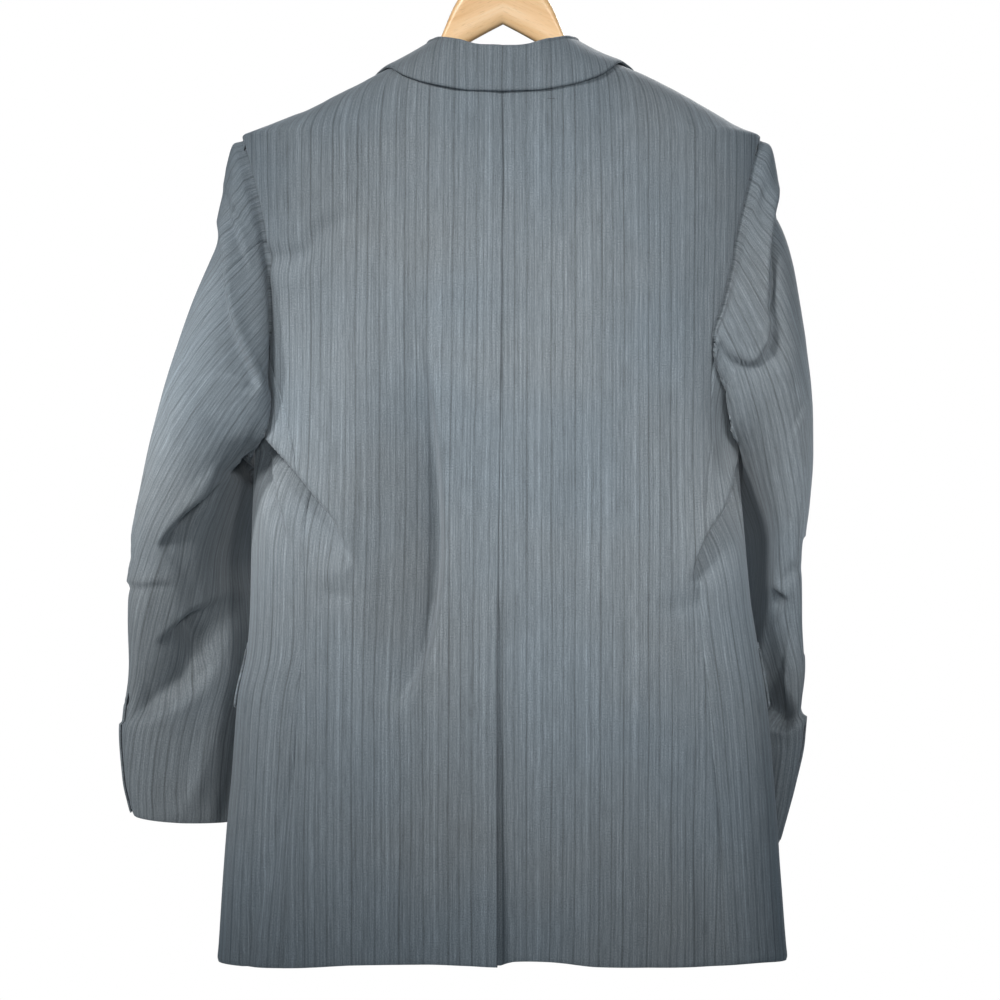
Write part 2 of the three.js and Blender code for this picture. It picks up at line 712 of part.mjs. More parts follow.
// The lapel lies on the front, from the roll line out to its edge, and is a little
// raised along the roll.
function lapel(side) {
  const rolls = [BREAK + 4, 410, 430, 470, 520, 580, 640, 690, 720, GORGE - 1.4];
  const grid = rolls.map((z) =>
    steps(6).map((share) => {
      const x = mix(FRONT_EDGE.x(z), LAPEL.x(z), share);
      const height = z - LAPEL.drop(z) * share;
      const roll = 1.6 * (1 - smooth(0, 0.35, share)) * smooth(BREAK + 20, 520, z);
      const lift = wrapLift(side, side * x, height) + TURNED + 0.9 + roll;
      return onBody(side * x, height, FRONT, lift);
    }),
  );
  return wall(trimmed(grid, { start: 0, end: 0, top: 0 }), TURNED);
}

// ---- Pockets --------------------------------------------------------------------------------
function hipFlap(side) {
  const from = angleAcross(FLAP.frontX, side, FLAP.top);
  const to = angleAcross(FLAP.sideX, side, FLAP.top) - radians(3);
  const grid = steps(4).map((down) =>
    steps(9).map((share) => {
      const corner = Math.min(share, 1 - share) * 8;
      const round = 5 * (1 - clamp01(corner)) * down ** 3;
      const z = FLAP.top + FLAP.slant * (1 - share) - down * (FLAP.height - round);
      const x = acrossAt(mix(from, to, share), side, z);
      return onBody(side * x, z, FRONT, TURNED + 0.6 + 1.2 * down);
    }),
  );
  return wall(grid, TURNED);
}

// ---- Buttons ----------------------------------------------------------------------------------
// A flat horn button with a raised rim and four thread holes, its back at height 0.
function buttonGeometry({ radius, thickness }) {
  const rim = radius * 0.2;
  const profile = [
    [0, 0],
    [radius * 0.8, 0],
    [radius, thickness * 0.45],
    [radius, thickness * 0.75],
    [radius - rim * 0.5, thickness],
    [radius - rim, thickness * 0.9],
    [radius - rim * 1.5, thickness * 0.62],
    [0, thickness * 0.62],
  ].map(([x, y]) => new THREE.Vector2(x, y));
  let body = manifoldOf(new THREE.LatheGeometry(profile, 20).rotateX(Math.PI / 2));
  const hole = radius * 0.1;
  for (const angle of [45, 135, 225, 315]) {
    const away = radius * 0.26;
    const drill = new THREE.CylinderGeometry(hole, hole, thickness * 4, 6).rotateX(Math.PI / 2);
    drill.translate(away * Math.cos(radians(angle)), away * Math.sin(radians(angle)), 0);
    body = body.subtract(manifoldOf(drill));
  }
  return geometryOf(body);
}

function manifoldOf(geometry) {
  const bare = new THREE.BufferGeometry();
  bare.setAttribute("position", geometry.getAttribute("position"));
  bare.setIndex(geometry.index);
  const merged = mergeVertices(bare, 1e-4);
  const vertProperties = new Float32Array(merged.attributes.position.array);
  const triVerts = new Uint32Array(merged.index.array);
  return new wasm.Manifold(new wasm.Mesh({ numProp: 3, vertProperties, triVerts }));
}

function geometryOf(solid) {
  const mesh = solid.getMesh();
  const geometry = new THREE.BufferGeometry();
  geometry.setAttribute("position", new THREE.BufferAttribute(mesh.vertProperties, 3));
  geometry.setIndex(new THREE.BufferAttribute(mesh.triVerts, 1));
  geometry.computeVertexNormals();
  return geometry;
}

// Sets a button on a surface point, its axis along the surface's normal.
function addButton(name, size, { at, normal }) {
  const mesh = addPiece(name, buttonGeometry(size), HORN, 0.4);
  mesh.quaternion.setFromUnitVectors(vec(0, 0, 1), normal);
  mesh.position.copy(at).addScaledVector(normal, SEAM);
  mesh.position.z -= HANG_POINT;
}

// ---- Hanger -------------------------------------------------------------------------------------
// The shoulder seam's height at x, found by halving.
function shoulderHeight(side, x) {
  let low = SHOULDER;
  let high = 830;
  for (let i = 0; i < 40; i++) {
    const middle = (low + high) / 2;
    if (reach(side, middle) > x) low = middle;
    else high = middle;
  }
  return low;
}

function hangerSection(x) {
  const away = Math.abs(x);
  const side = x < 0 ? LEFT : RIGHT;
  const underSeam = shoulderHeight(side, away) - CLOTH * 1.25 - 1.1;
  const top = mix(HANGER_NECK.top(Math.min(away, 84)), underSeam, smooth(72, 84, away));
  const bottom = HANGER_ARM.bottom(away);
  const tip = Math.sqrt(Math.max(0.12, 1 - Math.max(0, (away - HANGER_TIP + 12) / 12.5) ** 2));
  return { top, bottom: mix(top - 6, Math.min(bottom, top - 12), tip), half: HANGER_ARM.half(away) * tip };
}

// Loft of rounded sections along X, closed at both tips.
function hangerBody() {
  const half = [0, 9, 17, 25, 34, 43, 52, 62, 72, 84, 100, 125, 150, 175, 195, 207, 214, HANGER_TIP];
  const stations = [...half.slice(1).reverse().map((x) => -x), ...half];
  const around = 12;
  const points = [];
  const index = [];
  stations.forEach((x) => {
    const { top, bottom, half: wide } = hangerSection(x);
    range(around).forEach((i) => {
      const angle = ((i + 0.5) / around) * 2 * Math.PI;
      const y = wide * signedPower(Math.cos(angle), 0.6);
      const z = (top + bottom) / 2 + ((top - bottom) / 2) * signedPower(Math.sin(angle), 0.7);
      points.push(vec(x, y, z));
    });
  });
  for (let s = 0; s < stations.length - 1; s++) {
    range(around).forEach((i) => {
      const next = (i + 1) % around;
      const [a, b] = [s * around + i, s * around + next];
      index.push(a, b, b + around, a, b + around, a + around);
    });
  }
  const lastRing = (stations.length - 1) * around;
  for (let i = 1; i < around - 1; i++) {
    index.push(0, i + 1, i);
    index.push(lastRing, lastRing + i, lastRing + i + 1);
  }
  return solidGeometry(points, index);
}

function hook() {
  const shank = [[0, -0.35], [0, 8], [3, 16], [12, 26]].map(([x, up]) => vec(x, 0, NECK_TOP + up));
  const bend = steps(9).map((share) => {
    const turn = radians(mix(-35, 208, share));
    return vec(HOOK_RADIUS * Math.cos(turn), 0, HOOK_CENTRE + HOOK_RADIUS * Math.sin(turn));
  });
  const path = new THREE.CatmullRomCurve3([...shank, ...bend]);
  const wire = new THREE.Shape().absarc(0, 0, WIRE, 0, 2 * Math.PI);
  return new THREE.ExtrudeGeometry(wire, { steps: 44, curveSegments: 8, extrudePath: path });
}

// ---- Assembly -----------------------------------------------------------------------------------
for (const side of [LEFT, RIGHT]) {
  const name = sideName(side);
  addPiece(`back_${name}`, backPanel(side), CHARCOAL);
  addPiece(`side_${name}`, sidePanel(side), CHARCOAL);
  addPiece(`front_${name}`, frontPanel(side), CHARCOAL);
  addPiece(`sleeve_top_${name}`, topSleeve(side), CHARCOAL);
  addPiece(`sleeve_under_${name}`, underSleeve(side), CHARCOAL_UNDER);
  addPiece(`lapel_${name}`, lapel(side), CHARCOAL);
  addPiece(`hip_flap_${name}`, hipFlap(side), CHARCOAL);
}
addPiece("collar_fall", collarFall(), CHARCOAL);
addPiece("collar_stand", collarStand(), CHARCOAL_UNDER);

BUTTONS_AT.forEach((z, i) => {
  addButton(`front_button_${i + 1}`, FRONT_BUTTON, onBody(0, z, FRONT, wrapLift(LEFT, 0, z)));
});
for (const side of [LEFT, RIGHT]) {
  range(3).forEach((i) => {
    const down = SLEEVE_LENGTH[side] - CUFF_BUTTONS.first - i * CUFF_BUTTONS.pitch;
    const angle = radians(SLEEVE_SEAMS[side].hind(down) + CUFF_BUTTONS.fromSeam);
    const seat = sleeveSurface(side, angle, down, -SEAM);
    addButton(`cuff_button_${sideName(side)}_${i + 1}`, CUFF_BUTTON, seat);
  });
}
addPiece("hanger_body", hangerBody(), BEECH, 0.55);
addPiece("hanger_hook", hook(), STEEL, 0.3, 0.9);

export default group;
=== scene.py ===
"""A men's two-button blazer of striped worsted, hanging on a beech hanger.

Lengths are millimetres in the garment's own frame, with Z = 0 at the hem, X towards the
wearer's right and the back facing -Y. in_metres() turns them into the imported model's frame.
"""
import json
import math
from types import SimpleNamespace

import bpy
import numpy as np
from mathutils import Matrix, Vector


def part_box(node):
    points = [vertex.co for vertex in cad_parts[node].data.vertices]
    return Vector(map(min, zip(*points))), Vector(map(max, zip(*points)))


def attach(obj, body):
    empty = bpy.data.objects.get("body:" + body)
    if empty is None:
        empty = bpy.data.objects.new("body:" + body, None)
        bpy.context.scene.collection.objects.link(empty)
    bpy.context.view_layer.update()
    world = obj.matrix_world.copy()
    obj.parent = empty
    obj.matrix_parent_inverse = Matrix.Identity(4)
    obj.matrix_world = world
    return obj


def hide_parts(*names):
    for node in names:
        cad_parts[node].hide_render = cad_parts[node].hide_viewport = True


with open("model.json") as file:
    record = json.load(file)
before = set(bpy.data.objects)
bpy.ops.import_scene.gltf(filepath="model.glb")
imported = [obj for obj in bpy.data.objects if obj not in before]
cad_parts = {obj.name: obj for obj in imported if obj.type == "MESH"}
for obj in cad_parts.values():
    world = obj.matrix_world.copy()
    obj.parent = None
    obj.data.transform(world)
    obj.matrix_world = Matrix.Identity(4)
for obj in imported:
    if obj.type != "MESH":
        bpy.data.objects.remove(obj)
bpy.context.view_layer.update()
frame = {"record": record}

# ---- Driving dimensions ---------------------------------------------------------------
CLOTH = 1.7  # wall of one worsted panel
TURNED = 2.2  # wall of collar, lapels and flaps
CAD_CLOTH, CAD_TURNED = 2.0, 2.4  # the same walls as the solids have them
ROUNDNESS = 2.3  # superellipse power of the body's plan
SHOULDER, UNDERARM, SEAM_TOP = 741, 505, 545  # ends of the armhole, tops of the side seams
NECK_SIDE = 812  # where the shoulder seams meet the neck
HEM_RISE, NECK_DIP, DIP_START = 6, 20, 600  # how the back's rows bow towards its middle
WRAP = 20  # how far the left front laps past the middle
VENT_TOP, UNDERLAP = 283, 40
BREAK, GORGE = 388, 741  # where the lapel begins to roll, and where it meets the collar
LAPEL_FOOT, LAPEL_TOP = BREAK + 4, GORGE - 1.4
BACK, FRONT = -1, 1
LEFT, RIGHT = -1, 1
SIDE_NAMES = {LEFT: "left", RIGHT: "right"}
ARMHOLE_EGG = 0.15  # how much narrower the armhole is at its top
ARMHOLE_MIDDLE, ARMHOLE_HALF = (SHOULDER + UNDERARM) / 2, (SHOULDER - UNDERARM) / 2
SLEEVE_LENGTH = {LEFT: 622, RIGHT: 640}
CAP_BLEND = 90  # length over which the armhole's shape passes into the sleeve's
SLEEVE_GAP, UNDERARM_EASE, SLEEVE_CLEAR = 0.3, 0.3, 3  # room between the sleeve and the body
CUFF_VENT, VENT_UNDER_DEG, CUFF_BOW = 95, 17, 8
COLLAR_END, STAND_END = 214, 125  # distances from the middle of the neck
NOTCH_DIP, NOTCH_AT = 20, 0.58
FLAP = SimpleNamespace(top=279, height=55, front=116, side=240, slant=5)
HOOK_RADIUS, WIRE, HOOK_CENTRE, NECK_TOP, HANGER_TIP = 24, 2.3, 944, 896, 219
HANG_POINT = HOOK_CENTRE + HOOK_RADIUS - WIRE
MOUNT = np.array(frame["record"]["mounts"][0]["pos_m"])  # the same point in the model's frame
FRONT_BUTTON = SimpleNamespace(radius=10, thickness=3.2)
# The cuff buttons' first place above the cuff, their spacing and degrees past the hind seam.
CUFF_BUTTON = SimpleNamespace(radius=7.5, thickness=2.6, first=36, pitch=18, past_seam=28)
PITCH = 3.2  # spacing of the cloth meshes
EDGE_STEPS = [0, 0.7, 1.5, 2.6, 4.2, 6.4]  # distances of the first mesh lines from an edge
# Width at which each piece's mesh is laid out.
BACK_WIDTH, FRONT_WIDTH, SIDE_WIDTH, SLEEVE_WIDTH = 236, 215, 150, 215
LAPEL_WIDTH, FALL_WIDTH, STAND_WIDTH, FLAP_WIDTH = 80, 44, 26, 140
HEM_WAVE_TOP = 60  # height up to which the unevenness of the lower edge reaches


def in_metres(points):
    """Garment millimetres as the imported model's metres."""
    return (np.asarray(points, float) - [0, 0, HANG_POINT]) / 1000 + MOUNT


# ---- Curves ---------------------------------------------------------------------------
def smooth_curve(xs, ys):
    """Monotone cubic through the points, straight beyond its ends."""
    xs, ys = np.array(xs, float), np.array(ys, float)
    slope = np.diff(ys) / np.diff(xs)
    product, total = slope[:-1] * slope[1:], slope[:-1] + slope[1:]
    inner = np.where(product > 0, 2 * product / np.where(product > 0, total, 1), 0)
    tangent = np.concatenate([slope[:1], inner, slope[-1:]])

    def read(x):
        x = np.asarray(x, float)
        i = np.clip(np.searchsorted(xs, x, side="right") - 1, 0, len(xs) - 2)
        h = xs[i + 1] - xs[i]
        t = np.clip((x - xs[i]) / h, 0, 1)
        value = (
            ys[i] * (2 * t**3 - 3 * t**2 + 1)
            + tangent[i] * h * (t**3 - 2 * t**2 + t)
            + ys[i + 1] * (3 * t**2 - 2 * t**3)
            + tangent[i + 1] * h * (t**3 - t**2)
        )
        beyond = np.minimum(x - xs[0], 0) * tangent[0] + np.maximum(x - xs[-1], 0) * tangent[-1]
        return value + beyond

    return read


def columns(names, rows):
    """One smooth curve for each named column, read by the first column."""
    first, *others = zip(*rows)
    curves = {name: smooth_curve(first, ys) for name, ys in zip(names.split()[1:], others)}
    return SimpleNamespace(**curves)


def mix(a, b, t):
    return a + (b - a) * t


def smooth(start, end, x):
    t = np.clip((np.asarray(x, float) - start) / (end - start), 0, 1)
    return t * t * (3 - 2 * t)


def signed_power(value, power):
    return np.sign(value) * np.abs(value) ** power


def xyz(x, y, z):
    return np.stack(np.broadcast_arrays(x, y, z), axis=-1).astype(float)


def unit(v):
    return v / np.maximum(np.linalg.norm(v, axis=-1, keepdims=True), 1e-9)


def row_run(points):
    """Distance along each row of a grid from the row's first point."""
    step = np.linalg.norm(np.diff(points, axis=1), axis=-1)
    return np.hstack([np.zeros((len(points), 1)), step.cumsum(1)])


def run_from_middle(row):
    """Distance along one row of points from its middle point."""
    run = row_run(row[None])[0]
    return run - run[len(run) // 2]


def spline(points, per_span=8):
    """Points of a Catmull-Rom curve through rows of numbers."""
    p = np.array(points, float)
    p = np.vstack([2 * p[0] - p[1], p, 2 * p[-1] - p[-2]])
    t = np.linspace(0, 1, per_span, endpoint=False)[:, None]
    spans = []
    for a, b, c, d in zip(p, p[1:], p[2:], p[3:]):
        square, cube = 2 * a - 5 * b + 4 * c - d, 3 * b - a - 3 * c + d
        spans.append(0.5 * (2 * b + (c - a) * t + square * t**2 + cube * t**3))
    return np.vstack([*spans, p[-2:-1]])


# ---- Tables of the garment's form -----------------------------------------------------
BODY = columns("z left right back front", [
    (0, 257, 256, 84, 82), (55, 253, 252, 84, 84), (145, 246, 245, 84, 90),
    (235, 239, 237, 84, 97), (280, 230, 230, 84, 100), (325, 227, 223, 86, 102),
    (400, 225, 216, 90, 106), (463, 223, 212, 95, 110), (525, 221, 216, 99, 111),
    (600, 226, 222, 99, 106), (660, 232, 229, 94, 97), (700, 235, 232, 88, 88),
    (741, 234, 231, 79, 76), (747, 220, 217, 78, 74), (753, 203, 204, 77, 72),
    (765, 175, 183, 74, 67), (783, 138, 151, 70, 57), (798, 108, 122, 67, 45),
    (812, 79, 84, 62, 32), (832, 40, 42, 48, 20),
])
SIDE_SEAMS = columns("z back front", [
    (0, 195, 200), (99, 192, 195), (234, 182, 188), (324, 175, 182),
    (436, 181, 188), (482, 190, 196), (545, 206, 204),
])
FRONT_EDGE = columns("z x", [
    (0, 96), (4, 80), (12, 66), (30, 47), (65, 21), (105, 3), (145, -9), (200, -18),
    (250, -WRAP), (BREAK, -WRAP), (430, -10), (520, 9), (640, 34), (GORGE, 54),
    (772, 61), (798, 66), (812, 67),
])
WRAP_LIFT = columns("z lift", [
    (0, 3), (300, 3.4), (360, 6), (395, 7.4), (480, 7.2), (540, 3), (620, 0), (812, 0),
])
# Half depth of each armhole, towards the back and the front.
ARMHOLE_HALVES = columns("z leftBack rightBack leftFront rightFront", [
    (505, 50, 70, 55, 57), (549, 50, 68, 55, 57), (590, 49, 54, 55, 57),
    (634, 49, 49, 55, 57), (693, 51, 50, 55, 57), (741, 52, 52, 55, 57),
])
SLEEVE_NAMES = "down outX outZ inX inZ midY lean half"
SLEEVE = {
    LEFT: columns(SLEEVE_NAMES, [
        (0, 234, 741, 219, 505, 2, 0, 50), (8, 243, 735, 220, 500, 2, 0, 56),
        (26, 248, 718, 220, 494, 3, 1, 62), (55, 253, 688, 219, 486, 4, 4, 68),
        (100, 260, 645, 218, 476, 7, 10, 73), (160, 280, 588, 217, 460, 11, 16, 74),
        (225, 301, 524, 217, 440, 15, 20, 70), (280, 316, 470, 217, 412, 20, 22, 64),
        (330, 326, 423, 218, 380, 26, 24, 58), (380, 336, 372, 219, 345, 32, 26, 52),
        (430, 339, 322, 219, 303, 38, 27, 47), (490, 342, 262, 219, 250, 45, 28, 42),
        (545, 348, 205, 218, 196, 49, 28, 38), (590, 345, 160, 214, 155, 51, 28, 34),
        (622, 339, 131, 211, 127, 52, 27, 31),
    ]),
    RIGHT: columns(SLEEVE_NAMES, [
        (0, 231, 741, 217, 505, 2, 0, 56), (8, 240, 733, 218, 500, 2, 0, 60),
        (26, 245, 714, 217, 494, 3, 1, 64), (55, 250, 684, 216, 486, 5, 4, 69),
        (100, 259, 640, 214, 476, 9, 10, 73), (160, 269, 578, 210, 460, 15, 16, 75),
        (225, 277, 514, 208, 438, 24, 20, 72), (280, 279, 460, 209, 408, 34, 24, 66),
        (330, 276, 410, 210, 375, 44, 29, 60), (380, 271, 360, 205, 340, 57, 35, 53),
        (430, 272, 308, 197, 295, 73, 38, 45), (490, 278, 250, 187, 240, 88, 38, 40),
        (545, 277, 196, 177, 185, 99, 37, 37), (590, 269, 152, 167, 140, 102, 35, 34),
        (640, 256, 101, 156, 92, 106, 33, 30),
    ]),
}
# How far the cloth behind the arm laps over the back below the armhole, inwards and backwards.
SLEEVE_LAP = {
    LEFT: columns("down inward back", [
        (0, 0, 0), (40, 10, 3), (100, 21, 7), (160, 24, 8), (205, 17, 6), (235, 6, 2), (270, 0, 0),
        (640, 0, 0),
    ]),
    RIGHT: columns("down inward back", [
        (0, 0, 0), (40, 14, 4), (100, 27, 8), (160, 22, 8), (225, 13, 5), (280, 4, 2), (330, -6, 0),
        (380, -10, 0), (430, -7, 0), (500, 0, 0), (640, 0, 0),
    ]),
}
LAP_MIDDLE_DEG, LAP_HALF_DEG = -130, 65
# How far the cloth between the arm and the body falls away from the viewer's side.
SLEEVE_POCKET = {
    LEFT: columns("down push half", [
        (0, 0, 38), (190, 0, 38), (225, 26, 42), (270, 58, 50), (320, 72, 64), (370, 62, 74),
        (410, 34, 74), (450, 12, 70), (500, 0, 70), (640, 0, 70),
    ]),
    RIGHT: columns("down push half", [
        (0, 0, 50), (170, 0, 50), (225, 20, 52), (280, 42, 54), (340, 50, 60), (420, 46, 62),
        (470, 32, 62), (520, 8, 60), (560, 0, 60), (640, 0, 60),
    ]),
}
POCKET_MIDDLE_DEG, SWELL_HALF_DEG = -148, 74
FRONT_SWELL = 0.42  # share of the pocket's depth by which the sleeve's front stands out
WALLS_APART = 5  # least distance of a sleeve's back wall behind its front wall
SLEEVE_SEAMS = {
    LEFT: columns("down hind fore", [
        (0, -80, 112), (100, -62, 120), (225, -35, 140), (330, -18, 155),
        (430, -9, 165), (640, -4, 172),
    ]),
    RIGHT: columns("down hind fore", [
        (0, -80, 112), (100, -72, 116), (225, -54, 124), (330, -40, 134),
        (430, -22, 146), (540, -4, 158), (640, 3, 165),
    ]),
}
# How far the stripes lie round each sleeve from its outer line, by height.
SLEEVE_TWIST = {
    LEFT: columns("z turn", [
        (90, 0), (200, 26), (350, 68), (470, 122), (600, 198), (680, 234), (741, 254),
    ]),
    RIGHT: columns("z turn", [
        (90, 0), (200, 12), (350, 42), (460, 84), (600, 132), (680, 152), (741, 162),
    ]),
}
COLLAR = columns("at foldX foldY foldZ edgeX edgeY edgeZ footX footY footZ lie", [
    (0, 0, -63, 810, 0, -76, 770, 0, -67, 784, 0),
    (25, 22, -60, 811, 31, -75, 771, 23, -65, 785, 0),
    (48, 42, -50, 815, 61, -71, 776, 45, -57, 791, 0),
    (70, 57, -33, 819, 90, -56, 785, 65, -40, 800, 0.1),
    (95, 66, -8, 822, 110, -12, 797, 77, -12, 809, 0.35),
    (120, 69, 16, 816, 122, 22, 784, 74, 16, 808, 0.7),
    (148, 67, 41, 798, 127, 48, 769, 69, 38, 796, 1),
    (180, 61, 60, 772, 127, 62, 752, 63, 58, 770, 1),
    (COLLAR_END, 54, 74, 742, 123, 72, 738, 56, 72, 742, 1),
])
LAPEL = columns("z x drop", [
    (LAPEL_FOOT, -9, 2), (430, 24, 8), (470, 47, 14), (520, 67, 21), (580, 86, 29),
    (640, 103, 36), (700, 121, 41), (LAPEL_TOP, 133, 43),
])
HANGER_NECK = columns("x top", [
    (0, NECK_TOP), (17, NECK_TOP - 1), (25, 886), (43, 860), (62, 819), (70, 812), (84, 806),
])
HANGER_ARM = columns("x bottom half", [
    (0, 842, 8), (17, 833, 8), (43, 818, 8), (62, 805, 8.5), (84, 792, 9.5),
    (120, 768, 12), (160, 744, 16), (200, 727, 20), (HANGER_TIP, 722, 21),
])


# ---- Folds ----------------------------------------------------------------------------
def fold(path, rise, width, sharp=2.0, ease=2.3):
    """A crease by its path (x, z, strength), and on its left and right hand the rise and width.

    Left and right are as seen from behind, going along the path. Unlike rises make a step,
    where one layer of cloth stands over the next, and ease is half the width of its turn.
    """
    both = lambda value: value if isinstance(value, tuple) else (value, value)
    return SimpleNamespace(
        path=spline(path, 5), rise=both(rise), width=both(width), sharp=sharp, ease=ease
    )


BACK_FOLDS = [
    # left: the crease from the underarm down towards the waist, and a finer one beside it
    fold([(-213, 468, 0.7), (-210, 464, 1), (-189, 441, 1), (-166, 413, 0.9), (-151, 395, 0.6),
        (-130, 357, 0)], (6, -27), (12, 17), 1.35),
    fold([(-219, 451, 0.7), (-212, 433, 1), (-202, 408, 0.9), (-191, 382, 0.4), (-180, 350, 0)],
        (3, -10), (8, 10), 1.4),
    fold([(-172, 340, 0), (-152, 352, 1), (-130, 347, 0)], 2.6, (12, 13)),
    fold([(-164, 332, 0), (-146, 330, 0.9), (-122, 326, 0)], -2, (6, 7)),
    fold([(-211, 463, 0.9), (-189, 440, 1), (-166, 412, 0.8), (-150, 393, 0.2)], -4, (3, 3)),
    # the flare at the left side
    fold([(-178, 300, 0), (-179, 238, 0.5), (-191, 168, 0.9), (-206, 107, 1), (-222, 59, 1),
        (-235, 0, 1)], (-8, -3), (16, 12), 1.6),
    # right: the back panel stands over the side below the underarm
    fold([(214, 450, 0.7), (211, 443, 1), (198, 406, 1), (184, 385, 0.9), (174, 363, 0.6),
        (168, 340, 0)], (-24, 6), (18, 14), 1.4),
    fold([(173, 365, 0), (175, 340, 0.7), (172, 320, 1), (168, 300, 0)], -1.8, (7, 6)),
    fold([(174, 322, 0.4), (157, 319, 0.9), (136, 315, 0)], -2.6, (8, 10)),
    fold([(187, 545, 0), (194, 502, 0.7), (199, 467, 1), (204, 440, 0.8)], -5, (14, 10)),
    # drags from the armhole, and soft bands in the skirt
    fold([(-207, 629, 0.9), (-176, 632, 1), (-159, 652, 1), (-118, 674, 0)], -3.4, (8, 9)),
    fold([(-204, 610, 0.6), (-180, 606, 0.8), (-150, 612, 0)], 1.4, (9, 9)),
    fold([(206, 640, 0.6), (186, 654, 0.8), (150, 662, 0)], -1.2, (7, 9)),
    fold([(160, 190, 0), (168, 130, 0.7), (182, 40, 1), (186, 0, 1)], -3.2, (14, 18)),
    fold([(118, 230, 0), (122, 140, 0.8), (126, 30, 1), (127, 0, 1)], -2, (17, 12)),
    fold([(-128, 200, 0), (-132, 120, 0.8), (-139, 0, 1)], -2.2, (15, 18)),
    fold([(-60, 200, 0), (-58, 110, 0.8), (-56, 0, 1)], -1.5, (14, 17)),
    fold([(64, 460, 0), (60, 400, 0.8), (66, 330, 0.8), (72, 280, 0)], -2, (22, 18)),
    fold([(26, 700, 0), (34, 640, 0.8), (30, 560, 0.6), (36, 500, 0)], -1.2, (16, 12)),
    fold([(-44, 690, 0), (-40, 620, 0.7), (-48, 560, 0)], -1, (13, 16)),
]
# The long hollow left of the centre of the back, with a steep right side and a round foot.
BACK_HOLLOW = columns("z left right depth", [
    (190, -100, -98, 0), (222, -102, -97, 0), (236, -108, -91, 5), (248, -114, -83, 14),
    (264, -120, -75, 26), (290, -128, -67, 38), (330, -138, -60, 47), (370, -146, -57, 47),
    (420, -150, -58, 39), (480, -146, -63, 24), (540, -132, -71, 9), (600, -118, -80, 0),
    (900, -118, -80, 0),
])
FRONT_FOLDS = [
    fold([(-200, 470, 1), (-150, 330, 1)], -5, 18),
    fold([(200, 470, 1), (155, 320, 1)], -5, 18),
    fold([(-202, 520, 0.4), (-182, 470, 1), (-150, 420, 0.6), (-118, 388, 0)], (2, -2.5), (10, 12),
        1.5),
    fold([(204, 512, 0.5), (176, 458, 1), (140, 408, 0.5), (112, 384, 0)], (-2.8, 2), (13, 9), 1.5),
    fold([(-150, 560, 0), (-138, 500, 0.8), (-112, 440, 0)], -1.8, (10, 13)),
    fold([(158, 570, 0), (150, 520, 0.7), (126, 452, 0)], -1.6, (14, 9)),
    fold([(-60, 352, 0.3), (-92, 340, 0.9), (-132, 330, 0)], -1.4, (8, 10)),
    fold([(40, 356, 0.2), (82, 346, 0.8), (128, 342, 0)], -1.3, (9, 8)),
    fold([(-206, 232, 0), (-214, 140, 0.8), (-224, 0, 1)], -3, (15, 17)),
    fold([(204, 228, 0), (212, 130, 0.9), (226, 0, 1)], -2.8, (14, 19)),
    fold([(-150, 216, 0), (-156, 120, 0.8), (-160, 0, 1)], -1.6, (14, 18)),
    fold([(140, 214, 0), (148, 110, 0.8), (152, 0, 1)], -1.8, (18, 14)),
]
